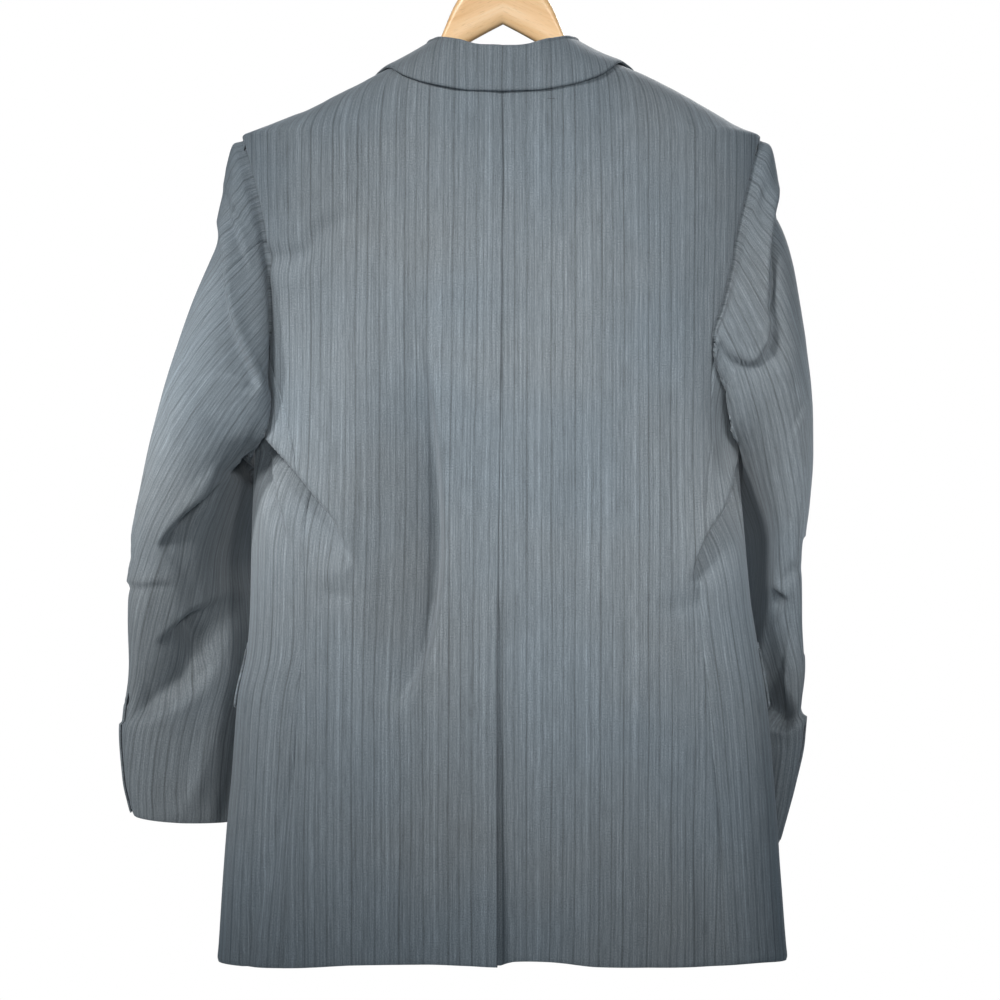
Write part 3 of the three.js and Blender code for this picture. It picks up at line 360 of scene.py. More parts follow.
SLEEVE_FOLDS = {
    # seen from behind
    (LEFT, BACK): [
        # round the sleeve head: a crescent, a roll below it, and the long edge of the next roll
        fold([(-245, 712, 0), (-244, 701, 0.5), (-242, 686, 0.8), (-241, 676, 1), (-233, 666, 1.1),
            (-223, 660, 1.1), (-214, 659, 0.5)], (1.5, -4.6), (7, 5), 1.4),
        fold([(-236, 712, 0.9), (-225, 716, 0.4)], -1.2, (4, 4)),
        fold([(-250, 698, 0), (-246, 686, 0.9), (-242, 666, 1), (-235, 652, 1), (-229, 633, 0.8),
            (-223, 617, 0)], (2.8, -4), (7, 7), 1.4),
        fold([(-256, 664, 0), (-252, 648, 0.9), (-249, 629, 1), (-246, 601, 1), (-240, 574, 1),
            (-233, 552, 1), (-223, 532, 0.9), (-217, 520, 0.7), (-219, 512, 0.5), (-228, 507, 0)],
            (5, -7), (10, 15), 1.4),
        fold([(-286, 560, 0), (-276, 528, 0.8), (-262, 500, 0.6), (-248, 486, 0)], -1.5, (9, 7)),
        fold([(-300, 512, 0), (-296, 480, 0.8), (-298, 452, 0)], (1.6, -1.6), (6, 6)),
        # the main fold: the upper arm's cloth hangs over the lower sleeve
        fold([(-208, 470, 0.9), (-214, 465, 1), (-234, 446, 1.1), (-260, 420, 1), (-281, 400, 0.8),
            (-301, 379, 0.3), (-309, 372, 0)], (-25, 9), (34, 24), 1.3),
        fold([(-226, 476, 0), (-246, 459, 0.7), (-270, 436, 0.9), (-292, 413, 0)], -1.6, (5, 6)),
        fold([(-222, 457, 0.5), (-234, 445, 1), (-260, 419, 1), (-281, 399, 0.9), (-298, 381, 0.2)],
            -5, (3, 3)),
        fold([(-224, 448, 0.6), (-238, 424, 1), (-252, 398, 0.9), (-257, 380, 0.2)], -4, (3, 3)),
        fold([(-236, 345, 0.5), (-253, 324, 1), (-278, 307, 0.9), (-298, 293, 0.2)], -5, (3, 3)),
        # hollows of the inner lower sleeve
        fold([(-236, 450, 0.4), (-242, 436, 0.9), (-248, 405, 1), (-255, 376, 1), (-254, 352, 0.2)],
            (-12, 1.5), (26, 8), 1.4),
        fold([(-228, 356, 0.7), (-234, 349, 1), (-253, 325, 1), (-278, 308, 0.9), (-300, 292, 0.4),
            (-312, 284, 0)], (-19, 6), (26, 16), 1.3),
        fold([(-316, 296, 0), (-322, 318, 0.6), (-318, 352, 0)], 1.2, (9, 9)),
        # the standing edge of the cuff part, round the lower hollow
        fold([(-232, 334, 0.2), (-240, 319, 0.7), (-255, 285, 1), (-269, 259, 1), (-277, 246, 1),
            (-295, 234, 1), (-313, 224, 1), (-330, 217, 0.5), (-340, 214, 0.15)], (1.5, -24),
            (12, 34), 1.4, 5),
        fold([(-236, 310, 0.2), (-248, 262, 0.8), (-260, 214, 1), (-272, 170, 0.9),
            (-288, 134, 0.7)], 3.8, (11, 9), 1.6),
        fold([(-222, 250, 0.6), (-232, 210, 1), (-244, 160, 0.9), (-250, 128, 0.8)], -4, (10, 8)),
        fold([(-350, 338, 0.9), (-340, 338, 0.9), (-329, 337, 1), (-306, 339, 0.7), (-290, 336, 0)],
            (2.6, -3), (10, 6), 1.4),
        fold([(-346, 362, 0.8), (-333, 360, 0.6), (-320, 352, 0)], -1.4, (5, 5)),
        fold([(-318, 196, 0), (-312, 170, 0.7), (-308, 136, 0.6)], -1.6, (8, 10)),
    ],
    (RIGHT, BACK): [
        fold([(224, 711, 0.4), (231, 706, 0.9), (237, 693, 0)], -1.2, (4, 4)),
        fold([(235, 697, 0), (232, 684, 1), (231, 672, 0.6), (227, 664, 0)], -3, (6, 4)),
        fold([(237, 666, 0), (231, 658, 0.9), (221, 651, 0.2)], -1.5, (4, 5)),
        # the deep upright fold down the back of the upper arm
        fold([(250, 700, 0), (248, 686, 0.8), (244, 669, 1), (241, 648, 1), (238, 625, 1),
            (237, 601, 1), (236, 583, 1), (238, 573, 0.9), (235, 552, 0.8), (226, 542, 0)],
            (-17, 5), (11, 12), 1.3),
        fold([(233, 596, 0), (232, 583, 0.9), (230, 567, 0)], -1.6, (4, 4)),
        # the pouch that hangs from where the sleeve meets the body
        fold([(186, 552, 0.8), (190, 550, 1), (206, 538, 1), (220, 534, 1), (230, 542, 1),
            (238, 556, 0.4), (240, 564, 0)], (4.4, -6), (9, 12), 1.35),
        fold([(188, 551, 0.9), (198, 556, 0.9), (212, 564, 0)], (1.8, -1.4), (5, 4), 1.4),
        fold([(268, 497, 0.7), (261, 480, 0.9), (257, 465, 0)], (1.4, -1.8), (6, 6), 1.5),
        fold([(272, 560, 0), (262, 520, 0.8), (260, 490, 0)], -1.3, (8, 7)),
        fold([(222, 500, 0), (226, 450, 0.7), (234, 400, 0.8), (240, 362, 0)], -1.8, (7, 9)),
        fold([(242, 470, 0), (248, 420, 0.8), (256, 372, 0)], -1.5, (7, 7)),
        # the bend at the elbow
        fold([(214, 420, 0), (220, 396, 0.5), (229, 359, 0.9), (239, 337, 1), (250, 327, 0.8),
            (258, 322, 0)], (4, -16), (9, 15), 1.4),
        fold([(263, 352, 1), (256, 344, 0.7), (248, 336, 0)], -2.4, (6, 6)),
        fold([(262, 330, 0), (256, 300, 0.8), (258, 268, 0)], -1.6, (7, 9)),
        # the shaded hollow above the cuff, with the cuff standing out below it
        fold([(222, 222, 0.8), (229, 218, 1), (245, 210, 1), (256, 206, 1), (264, 209, 0.6),
            (274, 215, 0.2)], (-27, 6), (40, 10), 1.3),
        fold([(236, 186, 0), (241, 160, 0.9), (244, 128, 0.8), (246, 112, 0.7)], -2.2, (6, 7), 1.6),
        fold([(250, 204, 0), (258, 192, 0.8), (262, 172, 0)], -1.2, (6, 6)),
    ],
    # the sides that the view from behind hides, with folds of the same kind
    (LEFT, FRONT): [
        fold([(-240, 700, 0), (-236, 672, 0.9), (-228, 650, 0)], (1.5, -2.2), (6, 8), 1.5),
        fold([(-250, 640, 0), (-246, 600, 1), (-236, 560, 0.8), (-224, 530, 0.2)], (-2.6, 2),
            (9, 8), 1.4),
        fold([(-216, 472, 0.8), (-240, 446, 1), (-266, 424, 0.9), (-292, 402, 0)], (-5, 3),
            (20, 16), 1.3),
        fold([(-228, 372, 0.8), (-250, 346, 1), (-280, 322, 0.7), (-300, 310, 0)], (-4.4, 2.6),
            (17, 13), 1.35),
        fold([(-344, 372, 0.9), (-322, 366, 0.9), (-296, 350, 0)], -2.2, (7, 8)),
        fold([(-240, 268, 0.4), (-268, 250, 1), (-300, 236, 0.9), (-332, 232, 0.5)], (2, -3.6),
            (8, 13), 1.4),
        fold([(-258, 214, 0), (-270, 170, 0.8), (-280, 132, 0.7)], -1.6, (9, 9)),
    ],
    (RIGHT, FRONT): [
        fold([(242, 702, 0), (238, 668, 0.9), (230, 646, 0)], (-2.2, 1.5), (8, 6), 1.5),
        fold([(252, 632, 0), (248, 590, 1), (238, 552, 0.8), (226, 528, 0.2)], (2, -2.8), (8, 10),
            1.4),
        fold([(218, 470, 0.7), (236, 450, 1), (254, 432, 0.7), (268, 420, 0)], (3, -4.6), (14, 18),
            1.3),
        fold([(266, 372, 0.9), (250, 350, 1), (228, 338, 0.6), (212, 334, 0)], (-3.8, 2.4),
            (14, 10), 1.35),
        fold([(196, 276, 0.5), (220, 262, 1), (246, 262, 0.8), (268, 270, 0.4)], (-3.4, 1.8),
            (15, 8), 1.4),
        fold([(188, 214, 0.5), (212, 204, 1), (240, 206, 0.9), (264, 216, 0.6)], (-4.6, 2.4),
            (18, 9), 1.35),
        fold([(206, 176, 0), (204, 140, 0.8), (200, 108, 0.7)], -1.5, (8, 8)),
    ],
}


def fold_height(f, x, z):
    """Height of one fold over the points (x, z)."""
    reach_of_fold = 3.2 * max(f.width)
    low, high = f.path[:, :2].min(0) - reach_of_fold, f.path[:, :2].max(0) + reach_of_fold
    near = (x > low[0]) & (x < high[0]) & (z > low[1]) & (z < high[1])
    height = np.zeros(x.shape)
    if not near.any():
        return height
    px, pz = x[near][:, None], z[near][:, None]
    a, d = f.path[:-1], np.diff(f.path, axis=0)
    along = (px - a[:, 0]) * d[:, 0] + (pz - a[:, 1]) * d[:, 1]
    t = np.clip(along / (d[:, 0] ** 2 + d[:, 1] ** 2), 0, 1)
    dx, dz = px - a[:, 0] - t * d[:, 0], pz - a[:, 1] - t * d[:, 1]
    away = np.hypot(dx, dz)
    k = away.argmin(axis=1)
    row = np.arange(len(k))
    strength = np.clip(a[k, 2] + t[row, k] * d[k, 2], 0, 1)
    signed = away[row, k] * np.sign(d[k, 0] * dz[row, k] - d[k, 1] * dx[row, k])
    left, right = (r * np.exp(-((np.abs(signed) / w) ** f.sharp)) for r, w in zip(f.rise, f.width))
    height[near] = strength * mix(right, left, 0.5 + 0.5 * np.tanh(signed / f.ease))
    return height


HOLLOW_FOOT, HOLLOW_TOP = 190, 600


def hollow_height(x, z):
    """The hollow deepens from its left line to its right one, where the cloth stands up again."""
    start, edge = BACK_HOLLOW.left(z), BACK_HOLLOW.right(z)
    fall = np.clip((x - start) / (edge - start), 0, 1) ** 1.35
    inside = fall * (1 - smooth(edge - 4, edge + 8, x))
    return -np.maximum(0, BACK_HOLLOW.depth(z)) * inside * ((z > HOLLOW_FOOT) & (z < HOLLOW_TOP))


def ripples(x, z, length, seed):
    """Gentle unevenness of about unit height, with that wave length."""
    draw = np.random.RandomState(seed)
    total = np.zeros(x.shape)
    for _ in range(7):
        turn, wave = draw.uniform(-0.9, 0.9), length * draw.uniform(0.6, 1.7)
        phase = draw.uniform(0, 2 * np.pi)
        total += np.sin(2 * np.pi * (x * np.cos(turn) + z * 0.45 * np.sin(turn)) / wave + phase)
    return total / 2.6


def draped(points, normals, folds_behind, folds_before, ease=0.45, seed=1, turn=0.3, hold=1.0):
    """Moves surface points along their normals by the folds of the face they are on.

    Folds fade out over the last of a face that turns away; turn is how much of it. Hold is
    the share of the folds at each point.
    """
    x, z = points[..., 0], points[..., 2]
    behind = smooth(turn - 0.3, turn, -normals[..., 1]) * hold
    before = smooth(turn - 0.3, turn, normals[..., 1]) * hold
    height = ease * ripples(x, z, 70, seed) + 0.3 * ease * ripples(x, z, 24, seed + 50)
    for weight, folds in ((behind, folds_behind), (before, folds_before)):
        height = height + weight * sum(fold_height(f, x, z) for f in folds)
    return points + normals * height[..., None]


# ---- Body form ------------------------------------------------------------------------
def reach(side, z):
    return np.where(np.asarray(side) < 0, BODY.left(z), BODY.right(z))


def depth(face, z):
    return np.where(np.asarray(face) < 0, BODY.back(z), BODY.front(z))


def body_y(x, z, face):
    share = np.minimum(1, np.abs(x) / reach(x, z))
    return face * depth(face, z) * (1 - share**ROUNDNESS) ** (1 / ROUNDNESS)


def body_field(p):
    x, y, z = p[..., 0], p[..., 1], p[..., 2]
    across = (np.abs(x) / reach(x, z)) ** ROUNDNESS
    return across + (np.abs(y) / depth(y, z)) ** ROUNDNESS - 1


def body_gradient(p):
    steps = 0.05 * np.eye(3)
    return np.stack([(body_field(p + d) - body_field(p - d)) / 0.1 for d in steps], axis=-1)


def on_body(x, z, face, lift=0.0):
    """Point of the body form at (x, z), moved out by lift, and the form's normal there."""
    at = xyz(x, body_y(x, z, face), z)
    normal = unit(body_gradient(at))
    return at + normal * np.asarray(lift)[..., None], normal


def seated(rough, lift):
    """The nearest point of the body form to a rough point, moved out by lift."""
    at = rough.copy()
    for _ in range(12):
        gradient = body_gradient(at)
        at = at - gradient * (body_field(at) / (gradient**2).sum(-1))[..., None]
    return at + unit(body_gradient(at)) * np.asarray(lift)[..., None]


def clear_of_body(point, lift):
    height = body_field(point) / np.linalg.norm(body_gradient(point), axis=-1)
    return np.where((height >= lift)[..., None], point, seated(point, lift))


def angle_across(x, side, z):
    return np.arcsin(signed_power(np.clip(x / reach(side, z), -1, 1), ROUNDNESS / 2))


def across_at(angle, side, z):
    return reach(side, z) * signed_power(np.sin(angle), 2 / ROUNDNESS)


def armhole(side, angle):
    """Point of the armhole seam: angle 0 is the shoulder point, -90 degrees the back."""
    z = ARMHOLE_MIDDLE + ARMHOLE_HALF * np.cos(angle)
    back, front = (getattr(ARMHOLE_HALVES, SIDE_NAMES[side] + end)(z) for end in ("Back", "Front"))
    half = np.where(np.sin(angle) < 0, back, front)
    y = half * np.sin(angle) * (1 - ARMHOLE_EGG * np.cos(angle))
    deep = (np.abs(y) / depth(y, z)) ** ROUNDNESS
    return xyz(side * reach(side, z) * (1 - deep) ** (1 / ROUNDNESS), y, z)


def armhole_x(side, face, z):
    angle = np.arccos(np.clip((z - ARMHOLE_MIDDLE) / ARMHOLE_HALF, -1, 1))
    return np.abs(armhole(side, face * angle)[..., 0])


def side_seam_x(side, face, z):
    table = SIDE_SEAMS.back if face < 0 else SIDE_SEAMS.front
    miss = armhole_x(side, face, SEAM_TOP) - table(SEAM_TOP)
    return table(z) + miss * smooth(SEAM_TOP - 90, SEAM_TOP, z)


def outer_x(side, face, z):
    seam = np.where(z >= SEAM_TOP, armhole_x(side, face, z), side_seam_x(side, face, z))
    return np.where(z >= SHOULDER, reach(side, z), seam)


def centre_back_x(side, z):
    seam = mix(-5, 0, smooth(200, 700, z))
    if side == LEFT:
        return -seam
    return seam - (UNDERLAP - 5) * (1 - smooth(VENT_TOP - 18, VENT_TOP + 12, z))


def vent_tuck(side, x, z):
    if side == LEFT:
        lifted = (1 - smooth(4, 34, x)) * (1 - smooth(0, VENT_TOP - 20, z))
        return 3.4 * lifted
    near = 1 - smooth(2, 52, x)
    below = 1 - smooth(VENT_TOP + 8, VENT_TOP + 50, z)
    return -near * mix(3.2, 12, np.clip(1 - z / VENT_TOP, 0, 1)) * below


def wrap_lift(side, x, z):
    if side == RIGHT:
        return np.zeros(np.broadcast(x, z).shape)
    return WRAP_LIFT.lift(z) * (1 - smooth(WRAP + 4, 100, -x))


# ---- Meshes ---------------------------------------------------------------------------
def stops(length, pitch=PITCH, lead=EDGE_STEPS, trail=EDGE_STEPS):
    """Distances from 0 to length at about that pitch, closer together at both ends."""
    start, end = np.array(lead, float), length - np.array(trail, float)[::-1]
    count = max(2, round((end[0] - start[-1]) / pitch) + 1)
    return np.concatenate([start[:-1], np.linspace(start[-1], end[0], count), end[1:]])


def shares(length, *settings, **more):
    """The same stops as shares of the length."""
    return stops(length, *settings, **more) / length


def grid_normals(points, outward):
    """Unit normals of a grid of points, on the side that the rough normals show."""
    normal = unit(np.cross(np.gradient(points, axis=1), np.gradient(points, axis=0)))
    return normal * np.sign((normal * outward).sum())


def rolled_edges(points, normals, sink, edges="start end top bottom"):
    """Turns the cloth's edges in a little, as a pressed seam or a turned hem does."""
    height = np.zeros(points.shape[:2])
    along = np.linalg.norm(np.diff(points, axis=1), axis=-1)
    up = np.linalg.norm(np.diff(points, axis=0), axis=-1)
    zero_col, zero_row = np.zeros((len(points), 1)), np.zeros((1, points.shape[1]))
    away = {
        "start": np.hstack([zero_col, along.cumsum(1)]),
        "end": np.hstack([along[:, ::-1].cumsum(1)[:, ::-1], zero_col]),
        "bottom": np.vstack([zero_row, up.cumsum(0)]),
        "top": np.vstack([up[::-1].cumsum(0)[::-1], zero_row]),
    }
    for edge in edges.split():
        d = away[edge]
        height = np.minimum(height, -sink * np.exp(-((d / 1.7) ** 2)))
        height = height + 0.25 * sink * np.exp(-(((d - 6) / 4) ** 2))
    return points + normals * height[..., None]


def placed(name, data):
    thing = bpy.data.objects.new(name, data)
    bpy.context.scene.collection.objects.link(thing)
    return thing


def build_mesh(name, points, quads, uv=None, tris=()):
    """A smooth mesh object from garment-frame points, four-cornered faces and triangles."""
    mesh = bpy.data.meshes.new(name)
    quads = np.asarray(quads, np.int32).reshape(-1, 4)
    tris = np.asarray(tris, np.int32).reshape(-1, 3)
    corners = np.concatenate([quads.ravel(), tris.ravel()])
    starts = np.concatenate([np.arange(len(quads)) * 4, len(quads) * 4 + np.arange(len(tris)) * 3])
    mesh.vertices.add(len(points))
    mesh.vertices.foreach_set("co", in_metres(points).astype(np.float32).ravel())
    mesh.loops.add(len(corners))
    mesh.loops.foreach_set("vertex_index", corners)
    mesh.polygons.add(len(starts))
    mesh.polygons.foreach_set("loop_start", starts.astype(np.int32))
    if uv is not None:
        layer = mesh.uv_layers.new(name="weave")
        layer.data.foreach_set("uv", (np.asarray(uv)[corners] / 1000).astype(np.float32).ravel())
    mesh.update(calc_edges=True)
    mesh.validate()
    mesh.shade_smooth()
    return placed(name, mesh)


def circle(sides):
    return np.arange(sides) * 2 * np.pi / sides


def ring_faces(rings, sides, flip=False):
    """The corner numbers of rings of points, those one place on, and the faces between rings."""
    number = np.arange(rings * sides).reshape(-1, sides)
    nxt = np.roll(number, -1, axis=1)
    faces = np.stack([number[:-1], nxt[:-1], nxt[1:], number[1:]], -1).reshape(-1, 4)
    return number, nxt, faces[:, [0, 3, 2, 1]] if flip else faces


def fan(hub, first, second):
    """Triangles from one corner to a ring."""
    return [(hub, a, b) for a, b in zip(first, second)]


def shell(points, outward, uv, thickness):
    """Closes a grid of surface points into a thin wall with rounded edges.

    Returns its points, its four-cornered faces and its weave coordinates.
    """
    rows, cols = points.shape[:2]
    normals = grid_normals(points, outward)
    inner = points - normals * thickness
    number = np.arange(rows * cols).reshape(rows, cols)
    corners = number[:-1, :-1], number[:-1, 1:], number[1:, 1:], number[1:, :-1]
    face = np.stack(corners, -1).reshape(-1, 4)
    along, up = points[0, 1] - points[0, 0], points[1, 0] - points[0, 0]
    ring = np.concatenate([number[0, :-1], number[:-1, -1], number[-1, :0:-1], number[:0:-1, 0]])
    flat_points, flat_inner = points.reshape(-1, 3), inner.reshape(-1, 3)
    inward = np.concatenate([
        number[1, :-1], number[:-1, -2], number[-2, :0:-1], number[:0:-1, 1],
    ])
    bulge = unit(flat_points[ring] - flat_points[inward]) * thickness * 0.14
    rim = (flat_points[ring] + flat_inner[ring]) / 2 + bulge
    total = rows * cols
    rim_number = 2 * total + np.arange(len(ring))
    following = np.roll(np.arange(len(ring)), -1)
    a, b = ring, ring[following]
    c, d = rim_number, rim_number[following]
    outer_rim = np.stack([b, a, c, d], -1)
    inner_rim = np.stack([d, c, a + total, b + total], -1)
    faces = np.vstack([face, face[:, ::-1] + total, outer_rim, inner_rim])
    if np.dot(np.cross(along, up), normals[0, 0]) < 0:
        faces = faces[:, ::-1]
    flat_uv = uv.reshape(-1, 2)
    return (
        np.vstack([flat_points, flat_inner, rim]),
        faces,
        np.vstack([flat_uv, flat_uv, flat_uv[ring]]),
    )


def joined(*parts):
    """One set of points, faces and weave coordinates from several."""
    points, faces, uvs, offset = [], [], [], 0
    for p, f, w in parts:
        points.append(p)
        faces.append(f + offset)
        uvs.append(w)
        offset += len(p)
    return np.vstack(points), np.vstack(faces), np.vstack(uvs)


def tube(path, radius, sides=8):
    """A round cord along a path, closed at both ends with small domes."""
    path = np.asarray(path, float)
    along = unit(np.gradient(path, axis=0))
    helper = np.where(np.abs(along[:, 2:]) > 0.9, [[1.0, 0, 0]], [[0, 0, 1.0]])
    first = unit(np.cross(along, helper))
    for i in range(1, len(path)):
        first[i] = unit(first[i - 1] - along[i] * np.dot(first[i - 1], along[i]))
    second = np.cross(along, first)
    turn = circle(sides)
    wide = np.broadcast_to(radius, len(path)).astype(float)[:, None, None]
    around = np.cos(turn)[:, None] * first[:, None] + np.sin(turn)[:, None] * second[:, None]
    rings = path[:, None] + wide * around
    tip = [path[0] - along[0] * wide[0, 0] * 0.8, path[-1] + along[-1] * wide[-1, 0] * 0.8]
    ends = [t + 0 * rings[:1] for t in tip]
    caps = [end * 0.5 + rings[[i]] * 0.5 for end, i in zip(ends, (0, -1))]
    rings = np.concatenate([ends[0], caps[0], rings, caps[1], ends[1]])
    flat = rings.reshape(-1, 3)
    return flat, ring_faces(len(rings), sides)[2], np.zeros((len(flat), 2))


# ---- Body panels ----------------------------------------------------------------------
BODY_ROWS = np.concatenate([
    stops(SHOULDER, trail=[0, 3])[:-1], np.linspace(SHOULDER, NECK_SIDE, 44),
])


def arc_from_centre(points, centre=0.0):
    """Distance along each row of a grid from where the row crosses the centre line."""
    run = row_run(points)
    x = points[..., 0] - centre
    start = [np.interp(0, row * np.sign(row[-1] - row[0]), far) for row, far in zip(x, run)]
    return run - np.array(start)[:, None]


def panel_grid(side, face, inner_edge, rows, width):
    """Grid of x by z over a back or front panel, from its inner edge to its outer edge."""
    z = rows[:, None]
    start = angle_across(inner_edge(z), side, z)
    end = angle_across(outer_x(side, face, z), side, z)
    share = shares(width)[None]
    return across_at(mix(start, end, share), side, z), z, share


# Unevenness of the back's lower edge: how far it drops at each x.
HEM_WAVE = columns("x drop", [
    (-260, 0), (-226, 0.6), (-190, -0.6), (-130, -2.4), (-75, -1.4), (-30, 0.6), (0, 1.4),
    (6, -1.6), (40, -3.4), (85, -0.2), (140, -1.2), (200, -2.6), (225, -3.0), (262, -1.0),
])


def hem_drop(x, z):
    return HEM_WAVE.drop(x) * (1 - smooth(0, HEM_WAVE_TOP, z))


def back_panel(side):
    x, z, share = panel_grid(side, BACK, lambda h: centre_back_x(side, h), BODY_ROWS, BACK_WIDTH)
    dip = NECK_DIP * np.maximum(0, (z - DIP_START) / (NECK_SIDE - DIP_START))
    rise = HEM_RISE * (1 - smooth(0, 145, z))
    height = z + (rise - dip) * np.cos(share * np.pi / 2) ** 2
    height = height - hem_drop(side * x, z)
    points, normals = on_body(side * x, height, BACK, vent_tuck(side, x, z))
    u = arc_from_centre(points)
    points = points + normals * hollow_height(side * x, height)[..., None]
    points = draped(points, normals, BACK_FOLDS, [], seed=3 + side)
    return finished(points, normals, u * side, height, 0.6, CLOTH)


def front_panel(side):
    rows = np.concatenate([np.linspace(0, 30, 22)[:-1], BODY_ROWS[BODY_ROWS > 30][:-4], [808]])
    x, z, share = panel_grid(side, FRONT, FRONT_EDGE.x, rows, FRONT_WIDTH)
    points, normals = on_body(side * x, z + 0 * x, FRONT, wrap_lift(side, side * x, z))
    u = arc_from_centre(points, side * 70) + 60
    points = draped(points, normals, [], FRONT_FOLDS, ease=0.3, seed=13 + side)
    return finished(points, normals, u * side, z + 0 * x, 0.9, CLOTH)


def finished(points, normals, u, v, sink, thickness, edges="start end top bottom"):
    points = rolled_edges(points, normals, sink, edges)
    uv = np.stack(np.broadcast_arrays(u, v), -1)
    return shell(points, normals, uv, thickness)


def side_panel(side):
    last_level = 470
    levels = stops(SEAM_TOP)[:, None]
    top_angle = np.arccos((SEAM_TOP - ARMHOLE_MIDDLE) / ARMHOLE_HALF)
    share = shares(SIDE_WIDTH)[None]
    top = armhole(side, mix(-top_angle, top_angle - 2 * np.pi, share))

    def turn(face, z):
        return np.pi / 2 - angle_across(side_seam_x(side, face, z), side, z)

    top_turn = np.pi / 2 - angle_across(np.abs(top[..., 0]), side, top[..., 2])
    back, front = turn(BACK, SEAM_TOP), turn(FRONT, SEAM_TOP)
    top_share = (np.sign(top[..., 1]) * top_turn + back) / (back + front)
    z = np.minimum(levels, last_level)
    rise = (levels - z) / (SEAM_TOP - last_level)
    height = mix(z, top[..., 2], rise)
    ends = mix(z, SEAM_TOP, rise)
    angle = mix(-turn(BACK, ends), turn(FRONT, ends), mix(share, top_share, rise))
    face = np.where(angle < 0, BACK, FRONT)
    x = across_at(np.pi / 2 - np.abs(angle), side, height)
    height = height - np.where(face < 0, hem_drop(side * x, levels), 0)
    points, normals = on_body(side * x, height, face)
    run = row_run(points)
    u = run - run[:, -1:] / 2
    points = draped(points, normals, BACK_FOLDS, FRONT_FOLDS, seed=23 + side)
    return finished(points, normals, u + 9, height, 0.9, CLOTH)


# ---- Sleeves --------------------------------------------------------------------------
def bump(angle, middle, half):
    """A round hump over the angles within half of a middle, in degrees."""
    off = np.mod(np.degrees(angle) - middle + 180, 360) - 180
    return np.cos(np.radians(90 * np.clip(off / half, -1, 1))) ** 2


def sleeve_form(side, angle, down):
    s = SLEEVE[side]
    outer = xyz(side * s.outX(down), s.midY(down) - s.lean(down), s.outZ(down))
    inner = xyz(side * s.inX(down), s.midY(down) + s.lean(down), s.inZ(down))
    arm = (outer - inner) / 2
    bow = CUFF_BOW * np.maximum(0, -np.sin(angle)) * smooth(540, 620, down)
    pocket = SLEEVE_POCKET[side]
    push = pocket.push(down) * bump(angle, POCKET_MIDDLE_DEG, pocket.half(down))
    swell = FRONT_SWELL * pocket.push(down) * bump(angle, -POCKET_MIDDLE_DEG, SWELL_HALF_DEG)
    across = xyz(0, s.half(down) * np.sin(angle) + push + swell, -bow)
    return (outer + inner) / 2 + arm * np.cos(angle)[..., None] + across


def sleeve_point(side, angle, down):
    blend = 1 - smooth(0, CAP_BLEND, down)
    miss = armhole(side, angle) - sleeve_form(side, angle, 0 * down)
    gap = xyz(side * (SLEEVE_GAP + UNDERARM_EASE * (1 - np.cos(angle))), 0, 0)
    lapped, table = bump(angle, LAP_MIDDLE_DEG, LAP_HALF_DEG), SLEEVE_LAP[side]
    lap = xyz(-side * table.inward(down), -table.back(down), 0) * lapped[..., None]
    point = sleeve_form(side, angle, down) + miss * blend[..., None] + gap + lap
    return clear_of_body(point, SLEEVE_CLEAR * smooth(4, 40, down + 0 * angle))


def walls_apart(side, points, angle, down):
    """Keeps the back wall of the sleeve behind its front wall, with a soft limit."""
    facing = np.abs(np.sin(angle))
    other = sleeve_point(side, -angle, down)[..., 1] - WALLS_APART * facing
    soft = 4 * facing + 0.02
    over = (points[..., 1] - other) / soft
    large = 30  # past this, the logarithm is over itself
    back = np.where(over > large, over, np.log1p(np.exp(np.minimum(over, large)))) * soft
    shift = np.where(np.sin(angle) < 0, back, 0)
    return points - shift[..., None] * [0, 1, 0]


SEAM_ROWS = [-6, -3.6, -1.6, -0.5]  # rows of the seam allowance, tucked inside the body's edge


def seam_allowance(side, angle, turned_in):
    """The sleeve's edge beyond the armhole seam, tucked under the body's panels."""
    edge = sleeve_point(side, angle, 0 * angle)
    away = edge - [side * 226, 0, ARMHOLE_MIDDLE]
    normal = unit(body_gradient(edge))
    along = unit(away - normal * (away * normal).sum(-1, keepdims=True))
    sunk = 3.3 * (1 - np.exp(-turned_in / 1.2))
    return edge + along * turned_in[..., None] - normal * sunk[..., None]


def section_arc(side):
    """Reads the distance round a level section of the sleeve, from its outer line."""
    degrees, levels = np.arange(-260, 185, 5.0), np.arange(84, 744, 6.0)
    down = np.linspace(0, SLEEVE_LENGTH[side], 120)
    angle, down = np.broadcast_arrays(np.radians(degrees)[:, None], down)
    ring = sleeve_point(side, angle, down)[:, ::-1]
    height = np.maximum.accumulate(ring[..., 2], axis=1)
    cut = np.array([
        [np.interp(levels, h, line[:, i]) for i in (0, 1)] for h, line in zip(height, ring)
    ])
    step = np.hypot(*np.moveaxis(np.diff(cut, axis=0), 1, 0))
    run = np.vstack([np.zeros((1, len(levels))), step.cumsum(0)])
    run = run - run[np.searchsorted(degrees, 0)]

    def read(angle, z):
        a = np.clip((angle - degrees[0]) / 5, 0, len(degrees) - 1.001)
        h = np.clip((z - levels[0]) / 6, 0, len(levels) - 1.001)
        i, k = a.astype(int), h.astype(int)
        low, high = (mix(run[i, m], run[i + 1, m], a - i) for m in (k, k + 1))
        return mix(low, high, h - k)

    return read


